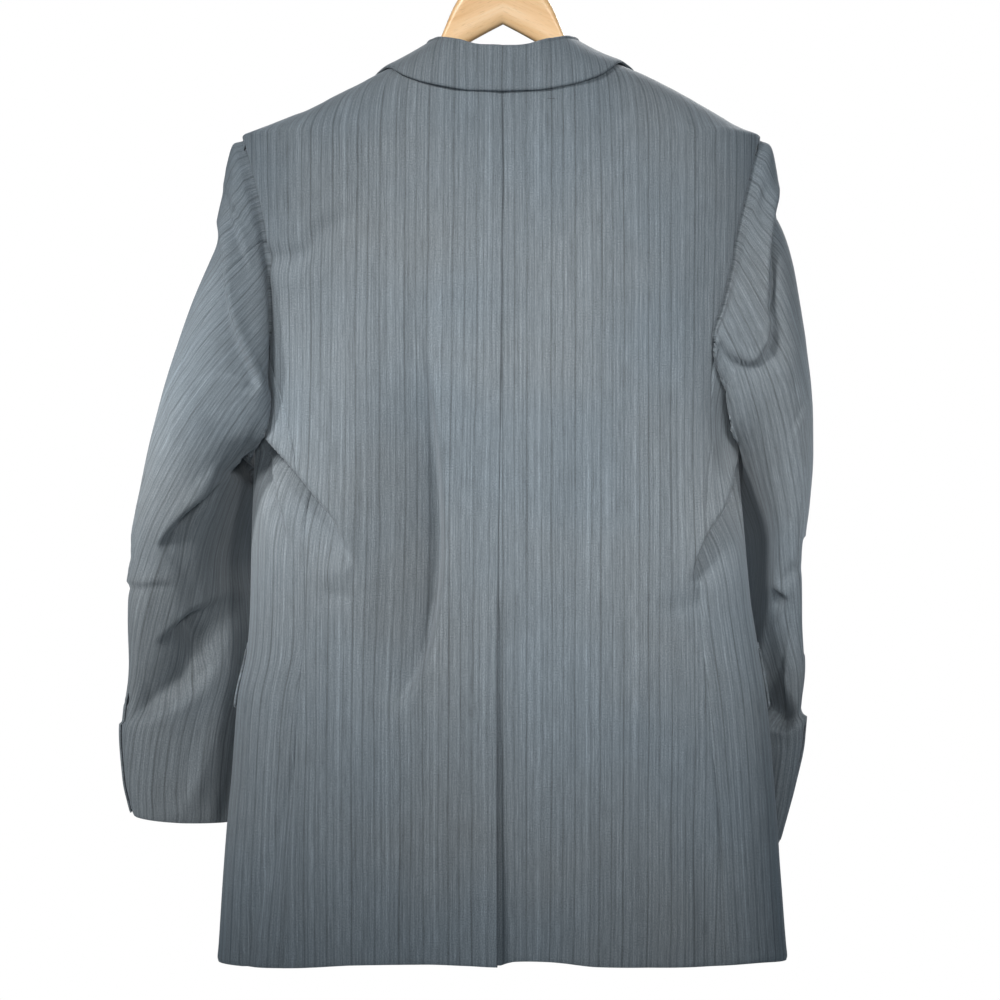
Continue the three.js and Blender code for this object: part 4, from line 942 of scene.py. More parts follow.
def sleeve_half(side, part):
    """The top or the under sleeve, from seam to seam and from the armhole to the cuff."""
    length = SLEEVE_LENGTH[side]
    row = np.concatenate([SEAM_ROWS, stops(length, lead=[0, 1.2, 2.6, 4.4, 6.6, 9])])[:, None]
    down = np.maximum(row, 0)
    vent_rows = smooth(-22, -8, down - length + CUFF_VENT)
    wide = smooth(-8, 2, down - length + CUFF_VENT) * VENT_UNDER_DEG
    hind, fore = SLEEVE_SEAMS[side].hind(down), SLEEVE_SEAMS[side].fore(down)
    share = shares(SLEEVE_WIDTH)[None]
    degrees = mix(hind, fore, share) if part == "top" else mix(fore, hind + 360 + wide, share)
    angle = np.radians(degrees)
    all_down = down + 0 * angle
    points = sleeve_point(side, angle, all_down)
    rough = unit(points - sleeve_point(side, angle + np.pi, all_down))
    turned_in = np.maximum(-row, 0) * (1 - smooth(0.8, 0.93, np.cos(angle)))
    points = np.where(row[..., None] < 0, seam_allowance(side, angle, turned_in), points)
    normals = grid_normals(points, rough)
    around = degrees if part == "top" else degrees - 360
    u = section_arc(side)(around, points[..., 2]) + SLEEVE_TWIST[side].turn(points[..., 2])
    if part == "under":
        hidden = smooth(hind + 360 - 28, hind + 360 - 3, degrees) * vent_rows
        points = points - normals * (hidden * (CLOTH + 0.9))[..., None]
    points = points - normals * (3.2 * np.exp(-((down / 5) ** 2)))[..., None]
    hold = smooth(1, 12, row) * (1 - smooth(0.55, 0.9, -side * normals[..., 0]))
    shaped = draped(
        points, normals, SLEEVE_FOLDS[side, BACK], SLEEVE_FOLDS[side, FRONT],
        seed=33 + side, turn=-0.05, hold=hold,
    )
    # the inner edge of the sleeve keeps its line beside the body
    towards = np.maximum(0, -side * (shaped - points)[..., 0])
    towards = towards * (1 - smooth(-0.6, 0.1, np.cos(angle)))
    points = shaped + side * 0.9 * towards[..., None] * [1, 0, 0]
    row = row[..., None]
    points = np.where(row > 30, walls_apart(side, points, angle, all_down), points)
    clear = clear_of_body(points, SLEEVE_CLEAR * smooth(4, 40, row[..., 0] + 0 * angle))
    points = np.where(row > 1, clear, points)
    return finished(points, normals, u, down, 0.55, CLOTH, "start end top")


# ---- Collar and lapels ----------------------------------------------------------------
def collar_point(kind, side, at):
    read = lambda axis: getattr(COLLAR, kind + axis)(at)
    return xyz(side * read("X"), read("Y"), read("Z"))


def both_ways(stations):
    """Sides and stations from the wearer's left end round the back to the right end."""
    at = np.concatenate([stations[:0:-1], stations])
    side = np.concatenate([np.full(len(stations) - 1, LEFT), np.full(len(stations), RIGHT)])
    return side[None], at[None]


def leaf_point(side, at, share):
    fold_at, edge = collar_point("fold", side, at), collar_point("edge", side, at)
    rough = mix(fold_at, edge, share[..., None])
    end = smooth(180, COLLAR_END, at)
    dip = NOTCH_DIP * end * np.minimum(share / NOTCH_AT, (1 - share) / (1 - NOTCH_AT))
    rough[..., 2] -= dip
    wrap = np.where(side < 0, wrap_lift(LEFT, rough[..., 0], rough[..., 2]), 0)
    lift = CAD_TURNED + 1.3 + wrap + 2.2 * (1 - share) ** 2
    lying = seated(rough, lift)
    away = unit(rough * [1, 1, 0])
    free = rough + away * (3 * np.sin(np.pi * share))[..., None]
    hold = np.maximum(COLLAR.lie(at), smooth(0.75, 1, share))
    return clear_of_body(mix(free, lying, hold[..., None]), lift)


ROLL_RADIUS = 2.4


def collar_fall():
    side, at = both_ways(stops(COLLAR_END, 3.0, lead=[0, 3]))
    share = 1 - shares(FALL_WIDTH, 2.6)[:, None]
    share = share[share[:, 0] < 0.94]
    leaf = leaf_point(side, at, share)
    top = collar_point("fold", side, at)
    away = unit(top * [1, 1.2, 0])
    turn = np.radians(np.linspace(8, 165, 12))[:, None, None]
    centre = leaf[-1:] - away * ROLL_RADIUS + [0, 0, 0.2]
    over = centre + away * ROLL_RADIUS * np.cos(turn) + np.array([0, 0, ROLL_RADIUS]) * np.sin(turn)
    points = np.concatenate([leaf, over])
    outward = np.broadcast_to(unit(top * [1, 1, 0]), points.shape).copy()
    normals = grid_normals(points, outward)
    middle_row = leaf[len(leaf) // 2]
    run = run_from_middle(middle_row)
    behind = 1 - smooth(-30, 30, points[..., 1])
    u = run + (points[..., 0] - middle_row[None, :, 0]) * behind
    height = 0.35 * ripples(run + 0 * u, points[..., 2], 60, 7)
    points = points + normals * height[..., None]
    return finished(points, normals, u, points[..., 2], 0.6, TURNED, "start end bottom")


def collar_stand():
    side, at = both_ways(stops(STAND_END, 3.2, lead=[0, 3]))
    share = shares(STAND_WIDTH, 2.6)[:, None]
    top, foot = collar_point("fold", side, at), collar_point("foot", side, at)
    away = unit(top * [1, 1.2, 0])
    top = top - away * (CAD_TURNED + 2.5) - [0, 0, 3.2]
    foot = foot - away * (CAD_CLOTH + 0.8) + [0, 0, 1.2]
    points = mix(foot, top, share[..., None])
    u = run_from_middle(points[0])
    return finished(points, -away + 0 * points, u, points[..., 2], 0.4, CLOTH)


def lapel(side):
    """The turned-back front, from the roll that joins it to the front's edge to its outer edge."""
    z = (stops(LAPEL_TOP - LAPEL_FOOT, 3.0, lead=[0, 2, 4.5]) + LAPEL_FOOT)[:, None]
    share = shares(LAPEL_WIDTH, 2.8, lead=[0, 1, 2.5])[None]
    x = mix(FRONT_EDGE.x(z), LAPEL.x(z), share)
    height = z - LAPEL.drop(z) * share
    belly = np.sin(np.pi * np.clip(share, 0, 1)) * 1.8 * smooth(BREAK + 30, 540, z)
    roll = 1.6 * (1 - smooth(0, 0.35, share)) * smooth(BREAK + 20, 520, z)
    wrap = wrap_lift(side, side * x, height)
    leaf, outward = on_body(side * x, height, FRONT, wrap + CAD_TURNED + 0.9 + roll + belly)
    foot, up = on_body(side * FRONT_EDGE.x(z), z, FRONT, wrap_lift(side, side * FRONT_EDGE.x(z), z))
    start = leaf[:, :1]
    radius = np.linalg.norm(start - foot, axis=-1, keepdims=True) / 2
    inward = unit(start - leaf[:, 3:4])
    turn = np.radians(np.linspace(178, 14, 11))[None, :, None]
    across = inward * radius * np.sin(turn)
    over = (start + foot) / 2 + up * radius * np.cos(turn) + across
    points = np.concatenate([over, leaf], axis=1)
    rough = np.concatenate([inward + 0 * over, outward], axis=1)
    normals = grid_normals(points, rough)
    run = row_run(points)
    u = run - run[:, -1:]
    return finished(points, normals, u * side, z + 0 * u, 0.6, TURNED, "end top bottom")


# ---- Pockets --------------------------------------------------------------------------
def hip_flap(side):
    """The flap, and the narrow jetting that its top edge comes out of."""
    start = angle_across(FLAP.front, side, FLAP.top)
    end = angle_across(FLAP.side, side, FLAP.top) - math.radians(3)
    share = shares(FLAP_WIDTH, 2.8)[None]
    down = shares(FLAP.height, 2.4)[:, None]

    def strip(z, lift):
        x = across_at(mix(start, end, share), side, z)
        points, normals = on_body(side * x, z, FRONT, lift + 0 * z)
        points = draped(points, normals, BACK_FOLDS, FRONT_FOLDS, ease=0.2, seed=43 + side)
        u = arc_from_centre(points, side * 70) + 60
        return finished(points, normals, u * side, z, 0.5, TURNED)

    corner = np.minimum(share, 1 - share) * 8
    rounded = 5 * (1 - np.clip(corner, 0, 1)) ** 2 * down**3
    top = FLAP.top + FLAP.slant * (1 - share)
    flap = strip(top - down * (FLAP.height - rounded), CAD_TURNED + 0.6 + 1.4 * down)
    jetting = strip(top + 1.2 + 5 * (1 - down) + 0 * share, TURNED - 0.2 + 0 * down)
    return joined(flap, jetting)


# ---- Buttons, stitches ------------------------------------------------------------------
def turned_frame(normal):
    """Two directions that lie across a normal, the first of them level."""
    level = unit(np.cross([0, 0, 1.0], normal))
    return level, np.cross(normal, level)


def button(name, size, seat, normal, materials):
    """A dished horn button with four real holes and its crossed threads."""
    radius, thick = size.radius, size.thickness
    rim = radius * 0.2
    profile = spline([
        (radius * 0.05, 0.05), (radius * 0.8, 0), (radius * 0.96, thick * 0.22),
        (radius, thick * 0.6), (radius - rim * 0.4, thick * 0.96), (radius - rim, thick * 0.93),
        (radius - rim * 1.6, thick * 0.66), (radius * 0.42, thick * 0.6),
        (radius * 0.05, thick * 0.6),
    ], 5)
    sides = 56
    turn = circle(sides)
    ring = np.stack([
        profile[:, :1] * np.cos(turn), profile[:, :1] * np.sin(turn), profile[:, 1:] + 0 * turn,
    ], -1)
    number, nxt, quads = ring_faces(len(ring), sides)
    flat = ring.reshape(-1, 3)
    bottom, top = len(flat), len(flat) + 1
    flat = np.vstack([flat, [0, 0, 0.05], [0, 0, thick * 0.6]])
    caps = fan(bottom, nxt[0], number[0]) + fan(top, number[-1], nxt[-1])
    level, upright = turned_frame(normal)
    place = lambda p: seat + p[:, :1] * level + p[:, 1:2] * upright + p[:, 2:] * normal
    body = build_mesh(name, place(flat), quads, np.zeros((len(flat), 2)), caps)
    away, hole = radius * 0.25, radius * 0.115
    spots = [np.array([sx * away, sy * away, 0]) for sx in (-1, 1) for sy in (-1, 1)]
    shafts = [place(np.array([spot - [0, 0, 4], spot + [0, 0, 8]])) for spot in spots]
    drill = build_mesh(name + "_drill", *joined(*[tube(shaft, hole, 14) for shaft in shafts]))
    cut = body.modifiers.new("holes", "BOOLEAN")
    cut.object, cut.operation, cut.solver = drill, "DIFFERENCE", "EXACT"
    drilled = body.evaluated_get(bpy.context.evaluated_depsgraph_get())
    made = bpy.data.meshes.new_from_object(drilled)
    body.modifiers.clear()
    body.data = made
    bpy.data.objects.remove(drill)
    threads = []
    for row in (-1, 1):
        for strand in (-0.45, 0.05, 0.5):
            y = row * away + strand * hole * 1.4
            bow = [(-away, y, thick * 0.2), (-away * 0.8, y, thick * 0.66), (0, y, thick * 0.86),
                   (away * 0.8, y, thick * 0.66), (away, y, thick * 0.2)]
            threads.append(tube(place(spline(bow, 4)), hole * 0.42, 6))
    sewn = build_mesh(name + "_thread", *joined(*threads))
    body.data.materials.clear()
    for material in materials:
        body.data.materials.append(material)
        sewn.data.materials.append(material)
    sewn.data.polygons.foreach_set("material_index", np.ones(len(sewn.data.polygons), np.int32))
    return join_objects(body, sewn)


def join_objects(first, *others):
    bpy.ops.object.select_all(action="DESELECT")
    for piece in (first, *others):
        piece.select_set(True)
    bpy.context.view_layer.objects.active = first
    bpy.ops.object.join()
    return first


STITCH = 2.6


def stitched_line(surface, start, end, thread):
    """Short raised stitches between two places on a surface given as a function of (x, z)."""
    start, end = np.array(start, float), np.array(end, float)
    count = max(1, round(np.linalg.norm(end - start) / STITCH))
    parts = []
    for i in range(count):
        a, b = mix(start, end, (i + 0.12) / count), mix(start, end, (i + 0.88) / count)
        across = np.array([mix(a, b, t) for t in np.linspace(0, 1, 5)])
        points, normals = surface(across[:, 0], across[:, 1])
        arch = np.sin(np.pi * np.linspace(0, 1, 5)) * 0.35
        parts.append(tube(points + normals * arch[:, None], thread, 6))
    return parts


def buttonhole(surface, x, z, length):
    """A worked buttonhole: a close ring of thread round a slit, with its bar at one end."""
    half = 1.3
    turn = np.linspace(0, 2 * np.pi, 41)
    ring_x = x + signed_power(np.cos(turn), 0.4) * length / 2
    ring_z = z + half * np.sin(turn)
    points, normals = surface(ring_x, ring_z)
    parts = [tube(points + normals * 0.35, 0.75, 8)]
    bar_x = np.full(5, x + length / 2 * np.sign(x))
    points, normals = surface(bar_x, z + np.linspace(-2.4, 2.4, 5))
    return parts + [tube(points + normals * 0.5, 0.7, 8)]


# ---- Hanger ---------------------------------------------------------------------------
def shoulder_height(side, x):
    heights = np.linspace(SHOULDER, 832, 400)
    return np.interp(-x, -reach(side, heights), heights)


def hanger_body():
    rounding = HANGER_TIP - np.linspace(13, 0, 14) ** 2 / 13
    half = np.concatenate([np.linspace(0, 90, 46), np.linspace(93, 204, 40), rounding])
    x = np.concatenate([-half[:0:-1], half])
    away, side = np.abs(x), np.where(x < 0, LEFT, RIGHT)
    seam = np.array([float(shoulder_height(s, a)) for s, a in zip(side, away)])
    seam = seam - CAD_CLOTH * 1.25 - 1.1
    top = mix(HANGER_NECK.top(np.minimum(away, 84)), seam, smooth(72, 84, away))
    low = HANGER_ARM.bottom(away)
    tip = np.sqrt(np.maximum(0.004, 1 - np.maximum(0, (away - HANGER_TIP + 12) / 12.05) ** 2))
    bottom = mix(top - 6, np.minimum(low, top - 12), tip)
    wide = HANGER_ARM.half(away) * tip
    sides = 36
    turn = circle(sides)
    y = wide[:, None] * signed_power(np.cos(turn), 0.6)[None]
    middle, half_high = ((top + bottom) / 2)[:, None], ((top - bottom) / 2)[:, None]
    rings = xyz(x[:, None], y, middle + half_high * signed_power(np.sin(turn), 0.7)[None])
    number, nxt, faces = ring_faces(len(x), sides, flip=True)
    points = np.vstack([rings.reshape(-1, 3), rings[0].mean(0), rings[-1].mean(0)])
    first, last = len(points) - 2, len(points) - 1
    return points, faces, None, fan(first, number[0], nxt[0]) + fan(last, nxt[-1], number[-1])


def hook_path():
    shank = [(x, 0, NECK_TOP + up) for x, up in ((0, -0.35), (0, 8), (3, 16), (12, 26))]
    turn = np.radians(np.linspace(-35, 208, 9))
    bend = [(HOOK_RADIUS * np.cos(t), 0, HOOK_CENTRE + HOOK_RADIUS * np.sin(t)) for t in turn]
    return spline([*shank, *bend], 12)


# ---- Materials ------------------------------------------------------------------------
class Nodes:
    """Short names for building one material's node tree."""

    def __init__(self, name):
        self.material = bpy.data.materials.new(name)
        self.material.use_nodes = True
        self.tree = self.material.node_tree
        self.tree.nodes.clear()
        out = self.add("ShaderNodeOutputMaterial")
        self.shader = self.add("ShaderNodeBsdfPrincipled")
        self.link(self.shader.outputs[0], out.inputs["Surface"])

    def add(self, kind, **settings):
        node = self.tree.nodes.new(kind)
        for key, value in settings.items():
            setattr(node, key, value)
        return node

    def link(self, source, target):
        self.tree.links.new(source, target)

    def put(self, value, socket):
        if isinstance(value, bpy.types.NodeSocket):
            self.link(value, socket)
        else:
            socket.default_value = value

    def fed(self, node, *values):
        for value, socket in zip(values, node.inputs):
            self.put(value, socket)
        return node.outputs[0]

    def math(self, operation, a, b=0.0, c=0.0):
        return self.fed(self.add("ShaderNodeMath", operation=operation), a, b, c)

    def vector(self, *parts):
        return self.fed(self.add("ShaderNodeCombineXYZ"), *parts)

    def scaled(self, sockets, *factors):
        """A vector of sockets, each times its factor."""
        return self.vector(*[self.math("MULTIPLY", s, f) for s, f in zip(sockets, factors)])

    def place(self):
        return self.add("ShaderNodeTexCoord").outputs["Object"]

    def noise(self, vector, scale=1.0, detail=2.0, roughness=0.5):
        node = self.add("ShaderNodeTexNoise")
        self.link(vector, node.inputs["Vector"])
        node.inputs["Scale"].default_value = scale
        node.inputs["Detail"].default_value = detail
        node.inputs["Roughness"].default_value = roughness
        return node.outputs[0]

    def ramp(self, factor, stops_and_colours):
        node = self.add("ShaderNodeValToRGB")
        self.link(factor, node.inputs[0])
        ramp = node.color_ramp
        while len(ramp.elements) > 1:
            ramp.elements.remove(ramp.elements[-1])
        ramp.elements[0].position = stops_and_colours[0][0]
        ramp.elements[0].color = rgba(stops_and_colours[0][1])
        for position, colour in stops_and_colours[1:]:
            ramp.elements.new(position).color = rgba(colour)
        return node.outputs[0]

    def mixed(self, factor, a, b, blend="MIX"):
        node = self.add("ShaderNodeMix", data_type="RGBA", blend_type=blend)
        self.put(factor, node.inputs[0])
        self.put(rgba(a), node.inputs[6])
        self.put(rgba(b), node.inputs[7])
        return node.outputs[2]

    def waves(self, vector, scale, distortion, **settings):
        node = self.add("ShaderNodeTexWave", **settings)
        self.link(vector, node.inputs["Vector"])
        node.inputs["Scale"].default_value = scale
        node.inputs["Distortion"].default_value = distortion
        return node.outputs[1]

    def bump(self, height, distance, under=None):
        node = self.add("ShaderNodeBump")
        node.inputs["Distance"].default_value = distance
        self.link(height, node.inputs["Height"])
        if under is not None:
            self.link(under, node.inputs["Normal"])
        return node.outputs[0]

    def finish(self, colour, roughness, normal=None, **sockets):
        self.put(rgba(colour), self.shader.inputs["Base Color"])
        self.put(roughness, self.shader.inputs["Roughness"])
        if normal is not None:
            self.link(normal, self.shader.inputs["Normal"])
        for key, value in sockets.items():
            self.shader.inputs[key.replace("_", " ")].default_value = value
        return self.material


def rgba(colour):
    """A grey or a colour with its alpha; a socket stays a socket."""
    if isinstance(colour, bpy.types.NodeSocket):
        return colour
    return (colour,) * 3 + (1.0,) if isinstance(colour, (int, float)) else (*colour, 1.0)


# The stripes of one repeat, charted one by one: place in mm, half width in mm, and depth of
# shade, where 0 is the ground and negative is a lighter stripe.
STRIPE_REPEAT = 43.0
STRIPES = [
    (2.2, 1.5, 0.8), (5.8, 0.9, 0.35), (12.4, 1.4, 0.6), (16.2, 0.8, 0.25), (19.6, 0.8, 0.35),
    (23.0, 1.6, 0.72), (29.2, 1.0, 0.4), (33.4, 1.2, -0.35), (36.8, 1.2, 0.5), (40.4, 0.8, 0.25),
]
GROUND = (0.148, 0.170, 0.187)


def stripe_ramp():
    """Ramp stops of the charted repeat as grey: the ground is 0.5, dark stripes go below it."""
    marks = []
    for place, half, shade in STRIPES:
        marks += [(place - half, 0.5), (place, 0.5 - 0.5 * shade), (place + half, 0.5)]
    return [(at / STRIPE_REPEAT, value) for at, value in marks][:32]


def worsted(name, ground):
    n = Nodes(name)
    weave = n.add("ShaderNodeUVMap", uv_map="weave")
    parts = n.add("ShaderNodeSeparateXYZ")
    n.link(weave.outputs[0], parts.inputs[0])
    u, v = (n.math("MULTIPLY", part, 1000.0) for part in parts.outputs[:2])  # millimetres
    wander = n.math("MULTIPLY", n.noise(n.scaled((u, v), 0.03, 0.006)), 5.0)
    repeat = n.math("FRACT", n.math("DIVIDE", n.math("ADD", u, wander), STRIPE_REPEAT))
    stripes = n.ramp(repeat, stripe_ramp())
    thin = n.noise(n.scaled((u, v), 0.55, 0.006), 1.0, 2.0, 0.6)
    fine = n.noise(n.scaled((u, v), 1.3, 0.045), 1.0, 2.0, 0.65)
    heather = n.noise(n.scaled((u, v), 2.4, 0.6), 1.0, 2.0, 0.7)
    grain = n.noise(n.scaled((u, v), 1.1, 0.8), 1.0, 3.0, 0.75)
    broken = n.math("MULTIPLY_ADD", heather, 1.5, 0.25)
    stripe_depth = n.math("MULTIPLY", n.math("SUBTRACT", stripes, 0.5), broken)
    tone = n.math("ADD", stripe_depth, 1.0)
    for streak, share, base in ((thin, 0.9, 0.55), (fine, 1.1, 0.45), (grain, 2.0, 0.0)):
        tone = n.math("MULTIPLY", tone, n.math("MULTIPLY_ADD", streak, share, base))
    broad = n.noise(n.place(), 5.0, 2.0, 0.5)
    tints = (0.96, 1.0, 1.04), (1.02, 1.0, 0.99)
    cool, warm = (tuple(c * k for c, k in zip(ground, tint)) for tint in tints)
    grey = n.add("ShaderNodeCombineColor")
    for socket in grey.inputs:
        n.link(tone, socket)
    colour = n.mixed(1.0, n.ramp(broad, [(0.36, cool), (0.64, warm)]), grey.outputs[0], "MULTIPLY")
    twill = n.waves(n.vector(u, v), 0.45, 1.2, wave_type="BANDS", bands_direction="DIAGONAL")
    rough = n.bump(twill, 0.00006)
    rough = n.bump(fine, 0.00016, rough)
    rough = n.bump(stripes, 0.00004, rough)
    return n.finish(
        colour, n.math("MULTIPLY_ADD", heather, 0.12, 0.74), rough,
        Specular_IOR_Level=0.28, Sheen_Weight=0.22, Sheen_Roughness=0.5,
        Sheen_Tint=(0.85, 0.92, 1.0, 1.0),
    )


def horn():
    n = Nodes("button_horn")
    place = n.place()
    cloudy = n.noise(place, 180.0, 4.0, 0.6)
    streak = n.waves(place, 30.0, 9.0, wave_type="RINGS")
    clouds = [
        (0.3, (0.012, 0.012, 0.014)), (0.55, (0.03, 0.028, 0.03)), (0.72, (0.085, 0.075, 0.068)),
    ]
    streaks = [(0.2, (0.01, 0.01, 0.012)), (0.9, (0.07, 0.062, 0.06))]
    colour = n.mixed(0.35, n.ramp(cloudy, clouds), n.ramp(streak, streaks))
    roughness = n.math("MULTIPLY_ADD", cloudy, 0.2, 0.2)
    bump = n.bump(cloudy, 0.00003)
    return n.finish(colour, roughness, bump, Coat_Weight=0.4, Coat_Roughness=0.18)


def thread(name, colour):
    n = Nodes(name)
    strands = n.noise(n.place(), 2600.0, 3.0, 0.6)
    low, high = (tuple(c * k for c in colour) for k in (0.7, 1.25))
    colour = n.ramp(strands, [(0.3, low), (0.7, high)])
    return n.finish(colour, 0.6, n.bump(strands, 0.0001), Sheen_Weight=0.2)


def beech():
    n = Nodes("hanger_beech")
    parts = n.add("ShaderNodeSeparateXYZ")
    n.link(n.place(), parts.inputs[0])
    x, y, z = parts.outputs
    along = n.math("ADD", z, n.math("MULTIPLY", n.math("ABSOLUTE", x), 0.45))
    figure = n.noise(n.scaled((x, y, along), 9.0, 90.0, 120.0), 1.0, 5.0, 0.6)
    pores = n.noise(n.scaled((x, y, along), 130.0, 1500.0, 1500.0))
    rings = [(0.3, (0.86, 0.50, 0.22)), (0.5, (0.95, 0.60, 0.30)), (0.72, (0.98, 0.68, 0.38))]
    flecks = n.ramp(pores, [(0.3, (0.78, 0.74, 0.7)), (0.42, 1.0)])
    colour = n.mixed(0.7, n.ramp(figure, rings), flecks, "MULTIPLY")
    roughness = n.math("MULTIPLY_ADD", figure, 0.18, 0.34)
    bump = n.bump(figure, 0.0001)
    return n.finish(colour, roughness, bump, Coat_Weight=0.35, Coat_Roughness=0.25)


def steel():
    n = Nodes("hook_steel")
    drawn = n.noise(n.place(), 420.0, 3.0, 0.7)
    colour = n.ramp(drawn, [(0.3, (0.55, 0.56, 0.57)), (0.7, (0.74, 0.74, 0.74))])
    roughness = n.math("MULTIPLY_ADD", drawn, 0.22, 0.14)
    return n.finish(colour, roughness, n.bump(drawn, 0.00002), Metallic=1.0)


def plaster(name, colour):
    n = Nodes(name)
    mottle = n.noise(n.place(), 3.0, 3.0, 0.5)
    colour = n.ramp(mottle, [(0.3, tuple(c * 0.985 for c in colour)), (0.7, colour)])
    return n.finish(colour, 0.9, n.bump(mottle, 0.0005))


# ---- Assembly -------------------------------------------------------------------------
WORSTED = worsted("worsted", GROUND)
# A copy of the worsted 3% darker: painted shade for the under sleeves and the collar stand.
WORSTED_SHADED_UNDER = worsted("worsted_under", tuple(c * 0.97 for c in GROUND))
HORN, THREAD = horn(), thread("sewing_thread", (0.045, 0.052, 0.062))
BEECH, STEEL = beech(), steel()


def shown(piece, node, material=None):
    """Puts a piece in the place of a CAD node, with its material slot."""
    if material:
        piece.data.materials.append(material)
    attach(piece, "root")
    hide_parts(node)


def cloth_piece(kind, made, side=None):
    node = kind if side is None else f"{kind}_{SIDE_NAMES[side]}"
    # the under sleeves and the collar stand take the darker copy, which is painted shade
    under = kind in ("sleeve_under", "collar_stand")
    piece = build_mesh(node + "_cloth", *made)
    shown(piece, node, WORSTED_SHADED_UNDER if under else WORSTED)


def node_centre(node):
    """Middle of a CAD node in garment millimetres."""
    low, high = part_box(node)
    return ((np.array(low) + np.array(high)) / 2 - MOUNT) * 1000 + [0, 0, HANG_POINT]


wood = build_mesh("hanger_body_wood", *hanger_body())
shown(wood, "hanger_body", BEECH)
hook = build_mesh("hanger_hook_wire", *tube(hook_path(), WIRE, 20))
shown(hook, "hanger_hook", STEEL)

PANELS = {
    "back": back_panel, "side": side_panel, "front": front_panel,
    "sleeve_top": lambda side: sleeve_half(side, "top"),
    "sleeve_under": lambda side: sleeve_half(side, "under"),
    "lapel": lapel, "hip_flap": hip_flap,
}
for side in (LEFT, RIGHT):
    for kind, panel in PANELS.items():
        cloth_piece(kind, panel(side), side)
cloth_piece("collar_fall", collar_fall())
cloth_piece("collar_stand", collar_stand())


def add_button(node, size, seat, normal):
    shown(button(node + "_horn", size, seat, normal, [HORN, THREAD]), node)


def cuff_seat(side, number):
    """Seat of a cuff button, counted from the cuff, and the sleeve's normal there."""
    down = SLEEVE_LENGTH[side] - CUFF_BUTTON.first - (number - 1) * CUFF_BUTTON.pitch
    angle = math.radians(float(SLEEVE_SEAMS[side].hind(down)) + CUFF_BUTTON.past_seam)

    def at(turned, lower=0):
        return sleeve_point(side, np.array(angle + turned), np.array(float(down + lower)))

    normal = unit(np.cross(at(0, 1) - at(0), at(0.02) - at(-0.02))) * side
    return at(0) + normal * 0.2, normal


for i in (1, 2):
    centre = node_centre(f"front_button_{i}")
    normal = on_body(centre[0], centre[2], FRONT)[1]
    seat = centre - normal * FRONT_BUTTON.thickness / 2
    add_button(f"front_button_{i}", FRONT_BUTTON, seat, normal)
for side in (LEFT, RIGHT):
    for i in (1, 2, 3):
        add_button(f"cuff_button_{SIDE_NAMES[side]}_{i}", CUFF_BUTTON, *cuff_seat(side, i))


def stitching():
    """Threads that show on the cloth: front buttonholes, lapel buttonhole and a bar tack."""
    left_front = lambda x, z: on_body(x, z, FRONT, wrap_lift(LEFT, x, z) + 0.15)
    left_lapel = lambda x, z: on_body(x, z, FRONT, CAD_TURNED + 2.4 + wrap_lift(LEFT, x, z))
    back = lambda x, z: on_body(x, z, BACK, 0.15)
    parts = []  # each buttonhole by its place and its length
    for i in (1, 2):
        parts += buttonhole(left_front, 3.5, node_centre(f"front_button_{i}")[2], 25)
    parts += buttonhole(left_lapel, -112, 690, 22)
    parts += stitched_line(back, (38.5, 767.5), (51.5, 766.5), 0.3)
    parts += stitched_line(back, (52.6, 774), (51.2, 757), 0.26)
    return joined(*parts)


stitches = build_mesh("hand_stitching", *stitching())
stitches.data.materials.append(THREAD)
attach(stitches, "root")

# ---- Floor, light, camera ---------------------------------------------------------------
FLOOR_BELOW, FLOOR_RADIUS = 1400, 2400
AMBIENT, AMBIENT_TINT = 0.12, (0.5, 0.78, 1.0, 1)
VIEW = SimpleNamespace(distance=3200, width=900, height=414, across=-2.7)


def floor():
    sides = 96
    turn = circle(sides)
    radii = np.array([200.0, 900, 1600, FLOOR_RADIUS - 6, FLOOR_RADIUS, FLOOR_RADIUS])
    drop = np.array([0.0, 0, 0, 0, 2, 12])
    rings = np.stack([
        radii[:, None] * np.cos(turn), radii[:, None] * np.sin(turn),
        (-FLOOR_BELOW - drop)[:, None] + 0 * turn,
    ], -1)
    number, nxt, faces = ring_faces(len(rings), sides, flip=True)
    points = np.vstack([rings.reshape(-1, 3), [0, 0, -FLOOR_BELOW]])
    made = build_mesh("floor", points, faces, None, fan(len(points) - 1, number[0], nxt[0]))
    made.data.materials.append(plaster("floor_plaster", (0.86, 0.86, 0.85)))


def aimed(name, lamp, position, target):
    holder = placed(name, lamp)
    start, end = in_metres(position), in_metres(target)
    holder.location = start
    holder.rotation_mode = "QUATERNION"
    holder.rotation_quaternion = Vector(end - start).to_track_quat("-Z", "Y")
    holder.visible_camera = False


def soft_light(name, position, target, size, watts, colour):
    lamp = bpy.data.lights.new(name, "AREA")
    lamp.shape, lamp.size, lamp.energy, lamp.color = "DISK", size, watts, colour
    aimed(name, lamp, position, target)


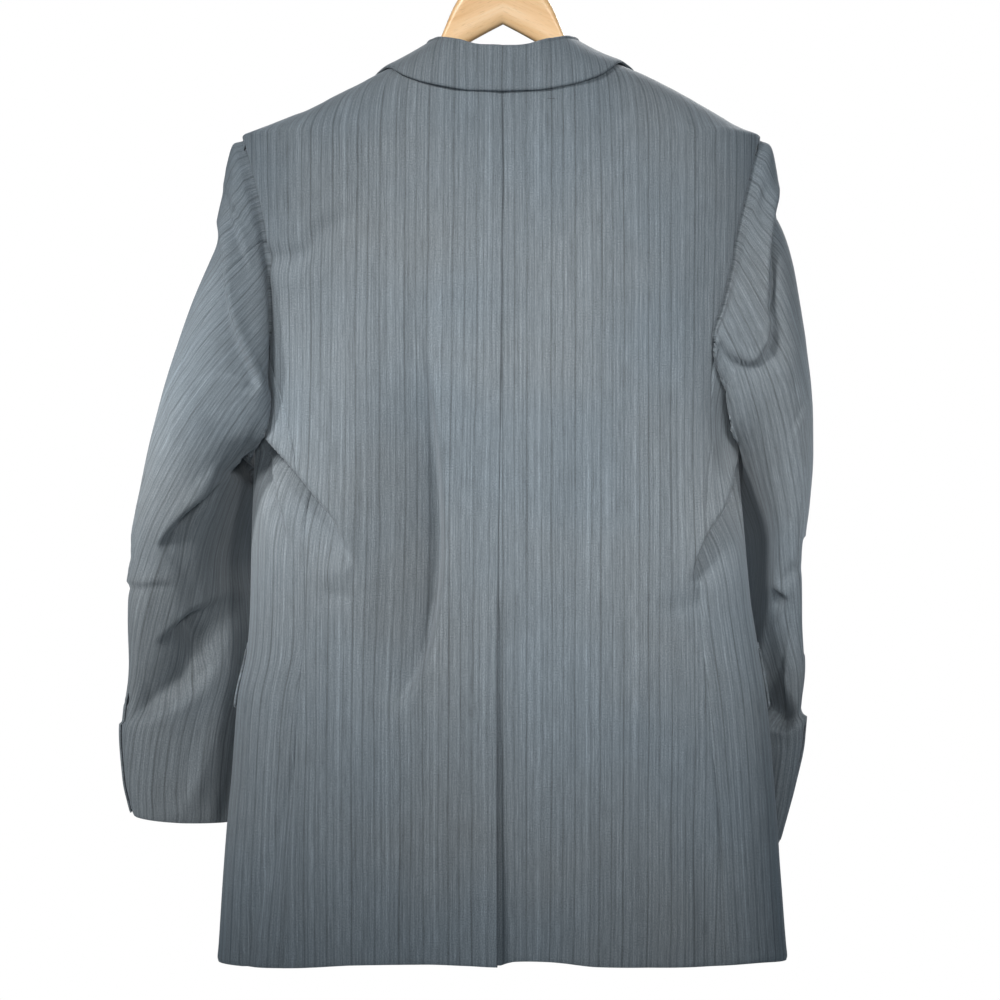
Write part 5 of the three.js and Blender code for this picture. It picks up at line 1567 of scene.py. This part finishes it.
def pool_light(name, position, target, size, half_angle, watts, colour):
    """A lamp whose light fades from the middle of its pool outwards."""
    lamp = bpy.data.lights.new(name, "SPOT")
    lamp.spot_size, lamp.spot_blend = 2 * math.radians(half_angle), 1.0
    lamp.shadow_soft_size, lamp.energy, lamp.color = size / 2, watts, colour
    aimed(name, lamp, position, target)


def studio():
    world = bpy.data.worlds.new("studio")
    bpy.context.scene.world = world
    world.use_nodes = True
    tree = world.node_tree
    tree.nodes.clear()
    seen, lit, path, blend, out = (
        tree.nodes.new("ShaderNode" + kind)
        for kind in ("Background", "Background", "LightPath", "MixShader", "OutputWorld")
    )
    for node, tint, strength in ((seen, (1, 1, 1, 1), 1.0), (lit, AMBIENT_TINT, AMBIENT)):
        node.inputs[0].default_value, node.inputs[1].default_value = tint, strength
    tree.links.new(path.outputs["Is Camera Ray"], blend.inputs[0])
    tree.links.new(lit.outputs[0], blend.inputs[1])
    tree.links.new(seen.outputs[0], blend.inputs[2])
    tree.links.new(blend.outputs[0], out.inputs[0])
    warm, plain = (1.0, 0.98, 0.95), (1.0, 0.99, 0.97)
    # name, position, target, lamp size, half angle, watts, colour
    pools = [
        ("key", (-1300, -1950, 2000), (40, 0, 450), 0.8, 11, 410, warm),
        ("fill", (1100, -2300, 1500), (140, 0, 480), 0.8, 9, 260, warm),
        ("front", (0, -2800, 500), (25, 0, 450), 0.8, 9, 220, plain),
        ("left_sleeve", (-2500, -1000, 1300), (-365, 0, 500), 0.25, 4.3, 480, warm),
        ("left_cuff", (-2000, -1900, 500), (-350, 0, 180), 0.25, 4, 150, warm),
        ("right_sleeve", (2300, -1500, 900), (330, 0, 420), 0.25, 3.5, 230, warm),
    ]
    for name, *settings in pools:
        pool_light(name + "_light", *settings)
    soft_light("far_light", (500, 2000, 1500), (0, 0, 480), 1.4, 50, warm)


def camera():
    lens = bpy.data.cameras.new("camera")
    lens.sensor_width = 36
    lens.lens = lens.sensor_width * VIEW.distance / VIEW.width
    lens.clip_start, lens.clip_end = 0.05, 50
    holder = placed("camera", lens)
    holder.location = in_metres((VIEW.across, -VIEW.distance, VIEW.height))
    holder.rotation_euler = (math.radians(90), 0, 0)
    bpy.context.scene.camera = holder


floor()
studio()
camera()
bpy.context.scene.view_settings.view_transform = "Standard"
